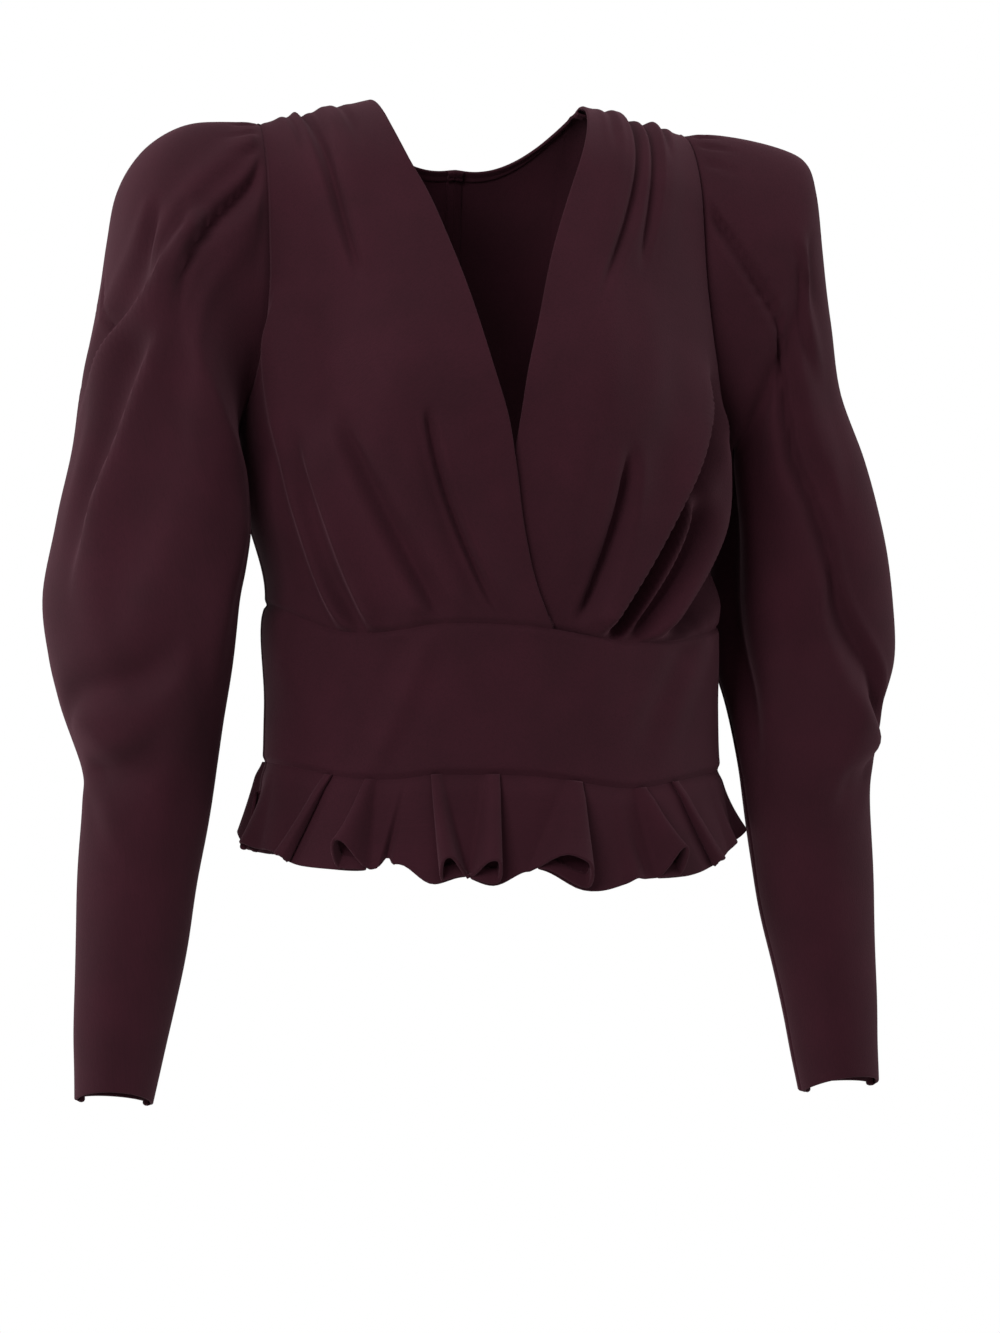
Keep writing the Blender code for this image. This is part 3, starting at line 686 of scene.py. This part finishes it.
for name, first, last, columns, fold_share, cut in (
    ("band_front", -90, 90, 150, 1, BAND_FRONT_CUT),
    ("band_back_left", 90, 180, 76, BAND_BACK_SHARE, BAND_BACK_CUT),
    ("band_back_right", -180, -90, 76, BAND_BACK_SHARE, BAND_BACK_CUT),
):
    turn = first + (last - first) * shares(columns, BAND_CROWDING)
    form = round_form(turn, "band_top", "band_bottom", shares(BAND_ROWS)[:, None])
    form = parted(form, first, last)
    height = folded(BAND_FOLDS, form[..., 0], -form[..., 2]) * fold_share
    height += BAND_SLACK * slack(form)
    height *= settled(form, BAND_FADE, BAND_FADE, BAND_FADE, BAND_FADE)
    height -= seam_dip(form, BAND_TOP_WIDE, BAND_BOTTOM_WIDE, SEAM_WIDE, SEAM_WIDE)
    sew(name, form, height, ALL_TURNED)

# The flounce
# A pleated flounce in three pieces. Its pleats are laid flat under the band's seam and open
# downwards into rolls; the narrow hem is turned under, and each roll lifts it.
# Rolls: where they start at the seam and end at the hem (degrees), half their width at the
# seam and at the hem, how far the fold reaches over its neighbour at each, how far they stand
# out and lift the hem (mm), and which way the fold points
Roll = namedtuple("Roll", "seam hem half_top half_hem over_top over_hem out lift way")
FRONT_ROLLS = (
    Roll(-80, -88, 12, 26, 0, 0, 8, 3, 1),
    Roll(-48.5, -60, 5, 15, 3, 1.5, 8, 2, 1),
    Roll(-35, -38.4, 5, 13.5, 3, 8, 18, 15, -1),
    Roll(-24.8, -29, 3, 5, 0, 0, -5, 5, 1),
    Roll(-17.5, -13.5, 4.4, 8.6, 2.6, 5.8, 16, 11, -1),
    Roll(-4.6, -6.4, 4.4, 9, 2.6, 5.8, 16, 12, 1),
    Roll(11.0, 7.0, 6, 15.5, 3.5, 10.5, 19, 14, 1),
    Roll(21, 23, 4, 8, 0, 0, 3, 1, 1),
    Roll(28.6, 33, 5, 10.2, 3, 6.6, 17, 15, 1),
    Roll(41, 51, 5, 14, 3, 1.5, 7, 2, -1),
    Roll(60, 69, 9, 15, 0, 0, 4, 1, 1),
    Roll(80, 88, 12, 24, 0, 0, 12, 4, 1),
)
BACK_ROLLS = (
    Roll(100, 103, 5, 13.6, 3, 8, 11, 9, 1),
    Roll(116, 118, 5, 9.4, 3, 5.5, 9, 6, -1),
    Roll(131, 133, 5, 15, 3, 9, 12, 10, 1),
    Roll(147, 148, 5, 9.4, 3, 5.5, 9, 6, -1),
    Roll(163, 164, 5, 13.6, 3, 8, 11, 9, 1),
)
# Height of the cloth across a folded roll, from -1 before it to 1 after it
Across = namedtuple("Across", "at out")
FOLDED_OVER = (
    Across(-1.0, 0.0),
    Across(-0.95, 0.22),
    Across(-0.88, 0.62),
    Across(-0.8, 0.9),
    Across(-0.7, 1.0),
    Across(-0.6, 0.96),
    Across(-0.52, 0.82),
    Across(-0.44, 0.55),
    Across(-0.36, 0.28),
    Across(-0.28, 0.15),
    Across(-0.15, 0.1),
    Across(0.1, 0.07),
    Across(0.3, 0.03),
    Across(0.44, -0.03),
    Across(0.56, -0.08),
    Across(0.75, -0.1),
    Across(0.9, -0.05),
    Across(1.0, 0.0),
)
FLOUNCE_FRONT_CUT = Cut((0.68, 0.075), 0.046, "gathered")
FLOUNCE_BACK_CUT = Cut((0.33, 0.075), 0.022, "gathered")
FLOUNCE_ROWS, FLOUNCE_CROWDING, ROLL_COLUMNS, PLAIN_STEP = 30, 0.5, 40, 1.1
HEM_TURNING, NO_ROLL = 7, -1
# Where the rolls are measured, and mm for a degree there as a share of the body's half width:
# less than pi / 180, as the body is less deep than wide
ROLLS_DROP, DEGREE_SHARE = 460, pi / 200
# How far folded pleats stand out under the seam, and how far the flounce lies in beside it
SEAM_STACK, SEAM_RECESS, RECESS_SHARE = 2.4, 1.9, 0.2
# How pleats and plain waves open from the seam to the hem, and how a roll lifts the hem
PLEAT_OPENS, WAVE_OPENS, LIFT_GROWS, LIFT_NARROWS = 0.8, 1.6, 2, 1.5
# The plain round on which the rolls stand: how far it goes past the ends, and its places
PAST_ENDS, ROUND_PLACES = 12, 97


def flounce_form(first, last, rolls):
    """The sheet from the band's seam down to the hem, with its rolls."""
    share = shares(FLOUNCE_ROWS, FLOUNCE_CROWDING)[:, None]
    mm_per_degree = smooth(BODY, "half_width", ROLLS_DROP) * DEGREE_SHARE
    columns = []
    seam_end, hem_end = first, first
    for roll in rolls + (None,):
        if roll is None:
            seam_next, hem_next = last, last
        else:
            seam_next = roll.seam - roll.half_top / mm_per_degree
            hem_next = roll.hem - roll.half_hem / mm_per_degree
        count = max(2, int(max(seam_next - seam_end, hem_next - hem_end) / PLAIN_STEP))
        for f in np.linspace(0, 1, count, endpoint=roll is None):
            seam = seam_end + (seam_next - seam_end) * f
            hem = hem_end + (hem_next - hem_end) * f
            columns.append((seam, hem, 0, NO_ROLL))
        if roll is None:
            break
        for a in np.linspace(-1, 1, ROLL_COLUMNS, endpoint=False):
            columns.append((roll.seam, roll.hem, a, rolls.index(roll)))
        seam_end = roll.seam + roll.half_top / mm_per_degree
        hem_end = roll.hem + roll.half_hem / mm_per_degree
    seam, hem, at, which = np.array(columns).T
    turn = seam + (hem - seam) * share
    out, lift = np.zeros_like(turn), np.zeros_like(turn)
    for number, roll in enumerate(rolls):
        mine = which == number
        a = at[mine] * roll.way
        half = roll.half_top + (roll.half_hem - roll.half_top) * share
        over = roll.over_top + (roll.over_hem - roll.over_top) * share
        if roll.over_top:
            aside = half * a - (over + half / 2) * np.sin(pi * a)
            profile = smooth(FOLDED_OVER, "out", a)
        else:
            aside = half * a
            profile = (1 + np.cos(pi * a)) / 2
        turn[:, mine] += roll.way * aside / mm_per_degree
        stands = SEAM_STACK if roll.over_top else 0
        opens = share ** (PLEAT_OPENS if roll.over_top else WAVE_OPENS)
        out[:, mine] = (stands + (roll.out - stands) * opens) * profile
        lift[:, mine] = roll.lift * share**LIFT_GROWS * np.maximum(profile, 0) ** LIFT_NARROWS
    out = out - SEAM_RECESS * (1 - ramp(share / RECESS_SHARE))
    start = smooth(LEVELS, "band_bottom", turn) + SEAM_GAP / 2
    drop = start + (smooth(LEVELS, "hem", turn) - start) * share - lift
    smooth_turn = np.linspace(first - PAST_ENDS, last + PAST_ENDS, ROUND_PLACES)
    plain = round_form(smooth_turn, "band_bottom", "hem", share)
    square = outward(plain)
    grid = body_point(turn, drop)
    for row in range(FLOUNCE_ROWS):
        for axis in range(3):
            grid[row, :, axis] += out[row] * np.interp(turn[row], smooth_turn, square[row, :, axis])
    return grid


mirrored = tuple(
    roll._replace(seam=-roll.seam, hem=-roll.hem, way=-roll.way) for roll in BACK_ROLLS[::-1]
)
for name, first, last, rolls, cut in (
    ("flounce_front", -90, 90, FRONT_ROLLS, FLOUNCE_FRONT_CUT),
    ("flounce_back_left", 90, 180, BACK_ROLLS, FLOUNCE_BACK_CUT),
    ("flounce_back_right", -180, -90, mirrored, FLOUNCE_BACK_CUT),
):
    form = parted(flounce_form(first, last, rolls), first, last)
    dip = seam_dip(form, first=SEAM_WIDE, last=SEAM_WIDE)
    turnings = (0, HEM_TURNING, SEAM_TURNING, SEAM_TURNING)
    sew(name, form, -dip, turnings, HEM_TURNING)

# The sleeves
# Long sleeves in two pieces each, with a seam down the outer and the inner side. The head is
# full and squared, set into the armhole with small gathers; the cloth is slack to the elbow,
# where tucks in the outer seam draw it in, and close down the forearm to a plain hem.
Ring = namedtuple("Ring", "out_x out_drop in_x in_drop front back ahead")
SLEEVE_RIGHT = (
    Ring(131, 10, 148, 200, 62, 62, 3),
    Ring(162, 10, 149, 205, 68, 68, 3),
    Ring(185, 14, 149, 210, 71, 72, 3),
    Ring(206, 31, 148, 216, 73, 75, 3),
    Ring(219.5, 54, 147, 222, 74, 76, 3),
    Ring(226, 85, 145, 231, 73, 76, 3),
    Ring(232, 125, 143.5, 242, 71, 74, 4),
    Ring(240, 168, 142.5, 255, 68, 71, 4),
    Ring(247, 210, 142.5, 268, 66, 69, 3),
    Ring(256, 255, 145, 286, 64, 66, 2),
    Ring(265, 300, 149, 306, 61, 63, 0),
    Ring(262, 338, 152, 338, 57, 59, -1),
    Ring(255, 366, 155.5, 364, 53, 54, -3),
    Ring(242, 406, 160, 400, 46, 47, -6),
    Ring(242, 428, 164, 428, 43, 45, -8),
    Ring(245.5, 486, 174.5, 486, 39, 41, -13),
    Ring(247, 546, 185.5, 546, 34, 36, -19),
    Ring(247, 603, 200, 607, 29, 31, -25),
)
SLEEVE_LEFT = (
    Ring(131, 10, 156, 200, 62, 62, 3),
    Ring(158, 9, 159, 205, 68, 68, 3),
    Ring(183, 14, 160, 210, 71, 72, 3),
    Ring(206, 24, 160, 216, 73, 75, 3),
    Ring(213.5, 42, 160, 222, 74, 76, 3),
    Ring(218, 79, 160, 231, 73, 76, 3),
    Ring(224.5, 125, 160, 242, 71, 74, 4),
    Ring(231, 170, 160, 255, 68, 71, 4),
    Ring(247.5, 212, 159, 268, 66, 69, 3),
    Ring(260, 260, 158, 286, 64, 66, 2),
    Ring(266, 303, 158, 306, 61, 63, 0),
    Ring(266.5, 338, 161, 338, 57, 59, -1),
    Ring(259, 368, 165, 366, 53, 54, -3),
    Ring(253, 402, 168, 400, 46, 47, -6),
    Ring(250, 428, 171.5, 428, 43, 45, -8),
    Ring(251, 486, 178.5, 486, 39, 41, -13),
    Ring(251, 546, 191, 546, 34, 36, -19),
    Ring(251, 604, 202, 608, 29, 31, -25),
)
SLEEVE_RINGS, SLEEVE_COLUMNS = 180, 88

# Folds of a sleeve: x is the turn round it from the outer seam, over the front, in degrees,
# and drop is the length of cloth from the armhole down the sleeve
RIGHT_FOLDS = (
    Fold(42, -4, 70, 30, 83, 106, 3.6, 5.4, -7.5, 0.03, 0.3),
    Fold(58, -4, 88, 34, 98, 108, 9, 9, 2.5, 0.05, 0.4),
    Fold(28, -4, 56, 44, 70, 100, 9, 5, 2.5, 0.05, 0.4),
    Fold(62, 44, 64, 112, 4, 264, 4.5, 14, 10, 0.15, 0.3),
    Fold(46, 70, 48, 128, -2, 250, 6, 6, -5.5, 0.25, 0.35),
    Fold(8, 158, 24, 175, 42, 182, 2.2, 2.4, -4, 0.3, 0.3),
    Fold(80, 104, 60, 200, 42, 340, 4.5, 13, 9, 0.2, 0.3),
    Fold(68, 120, 46, 210, 30, 330, 7, 6, -5.5, 0.25, 0.3),
    Fold(120, 200, 90, 305, 8, 456, 4.5, 12, 6.5, 0.25, 0.2),
    Fold(106, 224, 72, 330, 6, 440, 6, 6, -3.5, 0.3, 0.25),
    Fold(106, 280, 66, 388, 16, 466, 3, 7, -3.5, 0.25, 0.25),
    Fold(112, 290, 74, 400, 22, 474, 5, 9, 3.2, 0.3, 0.3),
    Fold(150, 60, 142, 150, 118, 250, 12, 10, 3, 0.3, 0.4),
)
LEFT_FOLDS = (
    Fold(58, -2, 88, 28, 102, 60, 1.8, 4, -4.5, 0.05, 0.12),
    Fold(102, 50, 94, 136, 81, 236, 1.8, 4, -5.5, 0.06, 0.06),
    Fold(82, 228, 68, 310, 14, 452, 2.0, 4.5, -6.5, 0.06, 0.15),
    Fold(66, -2, 78, 18, 99, 38, 2, 2.4, -2.2, 0.1, 0.3),
    Fold(110, 60, 104, 136, 92, 240, 4, 12, 4, 0.2, 0.1),
    Fold(92, 224, 80, 310, 32, 446, 4, 14, 5, 0.1, 0.25),
    Fold(90, 70, 80, 140, 66, 236, 12, 4, 3.5, 0.3, 0.2),
    Fold(62, 55, 73, 98, 50, 176, 9, 4, 5, 0.3, 0.4),
    Fold(164, 20, 160, 110, 152, 280, 14, 13, -11, 0.15, 0.3),
    Fold(70, 330, 50, 400, 12, 450, 6, 9, 4, 0.3, 0.3),
    Fold(80, 372, 50, 425, 16, 464, 4, 6, -3.5, 0.3, 0.3),
)
# Places of the small gathers round the head, in degrees from the outer seam
HEAD_GATHERS = (-44, -31, -19, -8, 5, 16, 27, 39)
GATHER_WIDE, GATHER_HEIGHT = 2.6, -2.2
# The head's seam allowance: how far in it reaches, towards a place inside the shoulder
HEAD_ALLOWANCE, SEAM_SINK = (4.2, 3.2, 2.2, 1.2), 1.3
HEART_X, HEART_DROP = 70, 70
HEAD_RINGS, HEAD_FADE = 3, 9
# The cuff: how far its front rises, over how many rings, its turning, and where folds fade
CUFF_RISE, CUFF_RINGS, CUFF_TURNING, CUFF_FADE = 10, 3, 14, 40
# The inner seam leans forwards or backwards from one drop to another, and how gradually
LEAN_START, LEAN_RISE, LEAN_END, LEAN_FALL = 200, 30, 420, 110
SLEEVE_CROWDING, SLEEVE_SQUARENESS, SLEEVE_SEAM_WIDE = 0.35, 0.9, 1.6
BACK_FOLD_SHARE = 0.85


def sleeve_form(side, rings, lean):
    """Smooth form of a whole sleeve; its turn runs from the outer side, over the front, the
    inner side and the back, and its first ring lies on the armhole."""
    turn = np.concatenate([180 * shares(SLEEVE_COLUMNS), 180 + 180 * shares(SLEEVE_COLUMNS)])
    station = (len(rings) - 1) * shares(SLEEVE_RINGS, SLEEVE_CROWDING)
    Placed = namedtuple("Placed", ("place",) + Ring._fields)
    table = [Placed(i, *ring) for i, ring in enumerate(rings)]
    value = {field: smooth(table, field, station)[:, None] for field in Ring._fields}
    cosine, sine = np.cos(np.radians(turn)), np.sin(np.radians(turn))
    across, drop = (
        (value["out" + end] + value["in" + end]) / 2
        + (value["out" + end] - value["in" + end]) / 2 * cosine
        for end in ("_x", "_drop")
    )
    by_cuff = ramp((station[:, None] - len(rings) + CUFF_RINGS) / (CUFF_RINGS - 1))
    drop = drop - CUFF_RISE * np.maximum(sine, 0) * by_cuff
    depth = np.where(sine > 0, value["front"], value["back"])
    leaning = ramp((value["in_drop"] - LEAN_START) / LEAN_RISE)
    leaning = leaning * ramp((LEAN_END - value["in_drop"]) / LEAN_FALL)
    ahead = value["ahead"] - depth * np.sign(sine) * np.abs(sine) ** SLEEVE_SQUARENESS
    ahead = ahead + lean * leaning * (1 - cosine) / 2
    grid = np.stack([side * across, ahead, -drop], axis=-1)
    loop_drop = ARMHOLE[0].drop + (UNDERARM_DROP - ARMHOLE[0].drop) * (1 - cosine) / 2
    front_turn = smooth(ARMHOLE, "front", loop_drop)
    back_turn = 180 - smooth(ARMHOLE, "back", loop_drop)
    loop = body_point(side * np.where(sine > 0, front_turn, back_turn), loop_drop)
    loop[:, 0] += side * SEAM_GAP
    blend = np.sin(pi / 2 * np.clip(station / HEAD_RINGS, 0, 1))[:, None, None]
    return turn, loop * (1 - blend) + grid * blend


for name, side, rings, lean, folds, uneven in (
    ("right", -1, SLEEVE_RIGHT, -36, RIGHT_FOLDS, 11),
    ("left", 1, SLEEVE_LEFT, 34, LEFT_FOLDS, -9),
):
    turn, form = sleeve_form(side, rings, lean)
    # small gathers that fan out a little from the seam, 24 mm long on average
    gathers = tuple(
        Fold(
            t - 1, -8, t * 1.1, 9, t * 1.22, 24 + 9 * sin(t),
            GATHER_WIDE, GATHER_WIDE, GATHER_HEIGHT, 0.02, 0.6,
        )
        for t in HEAD_GATHERS
    )
    back_folds = tuple(
        fold._replace(
            x1=360 - fold.x1, x2=360 - fold.x2 + uneven / 2, x3=360 - fold.x3,
            drop2=fold.drop2 + uneven, low=fold.high, high=fold.low,
            height=fold.height * BACK_FOLD_SHARE,
        )
        for fold in folds
    )
    far = lengths(form, 0)
    girth = np.linalg.norm(np.diff(form, axis=1), axis=2).sum(axis=1)
    mm = (girth / 360)[:, None] + 0 * far
    around = np.where(turn > 300, turn - 360, turn) + 0 * far
    height = folded(folds + back_folds, turn + 0 * far, far, mm) + folded(gathers, around, far, mm)
    height = (height + slack(form)) * settled(form, HEAD_FADE, CUFF_FADE)
    form = form - side * outward(form) * height[..., None]
    heart = form[0].copy()
    heart[:, 0] = side * HEART_X
    heart[:, 1] = SHOULDER_BEHIND
    heart[:, 2] = np.minimum(heart[:, 2], -HEART_DROP)
    inwards = unit(heart - form[0])
    form = form + inwards * (SEAM_SINK * np.exp(-((far / SEAM_SINK) ** 2)))[..., None]
    allowance = form[0] + inwards * np.array(HEAD_ALLOWANCE)[:, None, None]
    form = np.concatenate([allowance, form])
    for half, columns, y_gap in (
        ("top", slice(0, SLEEVE_COLUMNS), -1),
        ("under", slice(SLEEVE_COLUMNS, None), 1),
    ):
        grid = form[:, columns].copy()
        grid[..., 1] += y_gap * SEAM_GAP / 2
        if side > 0:
            grid = grid[:, ::-1]
        dip = seam_dip(grid, first=SLEEVE_SEAM_WIDE, last=SLEEVE_SEAM_WIDE)
        turnings = (0, CUFF_TURNING, SEAM_TURNING, SEAM_TURNING, HEAD_ALLOWANCE[0])
        node = "sleeve_" + name + "_" + half
        sew(node, grid, -dip, turnings, CUFF_TURNING)

# Hem stitches
# Short slanted stitches of thread in the crepe's colour, which hold the turned hems of the
# cuffs and the flounce down on the inside, a few mm apart along each hem.
STITCH_SLANT, STITCH_UNEVEN, STITCH_SEED = 0.7, (0.18, 0.18, 0.18), 4
STITCH_SIDES, STITCH_RINGS = 6, 5


def stitch_tree():
    """Geometry Nodes that set one stitch after another along a path."""
    tree = bpy.data.node_groups.new("hem_stitches", "GeometryNodeTree")
    face = tree.interface
    face.new_socket("Path", in_out="INPUT", socket_type="NodeSocketGeometry")
    for name in ("Spacing", "Length", "Thickness", "Slant"):
        face.new_socket(name, in_out="INPUT", socket_type="NodeSocketFloat")
    face.new_socket("Seed", in_out="INPUT", socket_type="NodeSocketInt")
    face.new_socket("Thread", in_out="INPUT", socket_type="NodeSocketMaterial")
    face.new_socket("Stitches", in_out="OUTPUT", socket_type="NodeSocketGeometry")
    given = tree.nodes.new("NodeGroupInput").outputs
    curve = add(tree, "GeometryNodeMeshToCurve", Mesh=given["Path"])
    spaced = add(
        tree, "GeometryNodeResampleCurve", {"mode": "LENGTH"},
        Curve=curve.outputs[0], Length=given["Spacing"],
    )
    along = add(tree, "GeometryNodeInputTangent").outputs[0]
    chance = add(
        tree, "FunctionNodeRandomValue", {"data_type": "FLOAT_VECTOR"},
        _0=[-part for part in STITCH_UNEVEN], _1=STITCH_UNEVEN, Seed=given["Seed"],
    )
    lean = add(tree, "ShaderNodeCombineXYZ", Z=given["Slant"])
    slanted = add(
        tree, "ShaderNodeVectorMath", {"operation": "ADD"}, _0=along, _1=lean.outputs[0]
    )
    uneven = add(
        tree, "ShaderNodeVectorMath", {"operation": "ADD"},
        _0=slanted.outputs[0], _1=chance.outputs[0],
    )
    turned = add(
        tree, "FunctionNodeAlignRotationToVector", {"axis": "Z"}, Vector=uneven.outputs[0]
    )
    ball = add(
        tree, "GeometryNodeMeshUVSphere",
        Segments=STITCH_SIDES, Rings=STITCH_RINGS, Radius=0.5,
    )
    size = add(
        tree, "ShaderNodeCombineXYZ",
        X=given["Thickness"], Y=given["Thickness"], Z=given["Length"],
    )
    placed = add(
        tree, "GeometryNodeInstanceOnPoints", Points=spaced.outputs[0],
        Instance=ball.outputs[0], Rotation=turned.outputs[0], Scale=size.outputs[0],
    )
    real = add(tree, "GeometryNodeRealizeInstances", Geometry=placed.outputs[0])
    dyed = add(
        tree, "GeometryNodeSetMaterial", Geometry=real.outputs[0], Material=given["Thread"]
    )
    end = tree.nodes.new("NodeGroupOutput")
    tree.links.new(dyed.outputs[0], end.inputs[0])
    return tree


points, edges = [], []
for path in hem_paths:
    first = len(points)
    points.extend((path / 1000).tolist())
    edges.extend((first + i, first + i + 1) for i in range(len(path) - 1))
lines = bpy.data.meshes.new("hem_lines")
lines.from_pydata(points, edges, [])
hems = bpy.data.objects.new("hem_lines", lines)
bpy.context.scene.collection.objects.link(hems)
maker = hems.modifiers.new("stitches", "NODES")
maker.node_group = stitch_tree()
inputs = {
    "Spacing": STITCH_SPACING / 1000, "Length": STITCH_LONG / 1000,
    "Thickness": STITCH_THICK / 1000, "Slant": STITCH_SLANT, "Seed": STITCH_SEED,
    "Thread": crepe,
}
for socket in maker.node_group.interface.items_tree:
    if socket.name in inputs:
        maker[socket.identifier] = inputs[socket.name]
made = hems.evaluated_get(bpy.context.evaluated_depsgraph_get())
sewn = bpy.data.meshes.new_from_object(made)
hems.modifiers.clear()
sewn.materials.clear()
sewn.materials.append(crepe)
sewn.polygons.foreach_set("material_index", [0] * len(sewn.polygons))
stitches = bpy.data.objects.new("hem_stitches", sewn)
bpy.context.scene.collection.objects.link(stitches)
bpy.data.objects.remove(hems)
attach(stitches, "root")

# Floor and studio light
# A plain pale floor at the height that a wearer's feet would have, big soft boxes before and
# beside the garment, and a white room.
FLOOR_DROP, FLOOR_RADIUS = 1.45, 2.6
ROOM_LIGHT, ROOM_SEEN = 0.35, 1.0
bpy.ops.mesh.primitive_circle_add(
    vertices=96, radius=FLOOR_RADIUS, fill_type="NGON", location=(0, 0, -FLOOR_DROP)
)
floor = bpy.context.object
floor.name = "floor"
paint = bpy.data.materials.new("pale_floor_paint")
paint.use_nodes = True
paint.node_tree.nodes["Principled BSDF"].inputs["Base Color"].default_value = linear("#e6e4e2")
paint.node_tree.nodes["Principled BSDF"].inputs["Roughness"].default_value = 0.8
floor.data.materials.append(paint)

# Softboxes: how far to the camera's right, towards it and up, their size and their power
Softbox = namedtuple("Softbox", "name aside ahead up size watts")
for box in (
    Softbox("key", -0.75, 1.65, 0.75, 0.85, 26),
    Softbox("side_left", -1.7, -0.1, 0.25, 0.9, 15),
    Softbox("side_right", 1.8, -0.1, 0.2, 0.9, 13),
    Softbox("top", 0.1, 0.3, 1.7, 0.9, 9),
):
    lamp = bpy.data.lights.new(box.name, "AREA")
    lamp.energy = box.watts
    lamp.size = box.size
    stand = bpy.data.objects.new(box.name, lamp)
    stand.location = (
        across_view * box.aside - into_view * box.ahead + Vector((0, 0, box.up + CAMERA_HEIGHT))
    )
    aim = Vector((0, 0, CAMERA_HEIGHT)) - stand.location
    stand.rotation_euler = aim.to_track_quat("-Z", "Y").to_euler()
    bpy.context.scene.collection.objects.link(stand)

room = bpy.data.worlds.new("white_room")
room.use_nodes = True
bpy.context.scene.world = room
bpy.context.scene.view_settings.view_transform = "Standard"
tree = room.node_tree
seen = add(tree, "ShaderNodeLightPath").outputs["Is Camera Ray"]
strength = add(
    tree, "ShaderNodeMapRange", Value=seen, To_Min=ROOM_LIGHT, To_Max=ROOM_SEEN
)
backdrop = tree.nodes["Background"]
backdrop.inputs["Color"].default_value = (1, 1, 1, 1)
tree.links.new(strength.outputs["Result"], backdrop.inputs["Strength"])
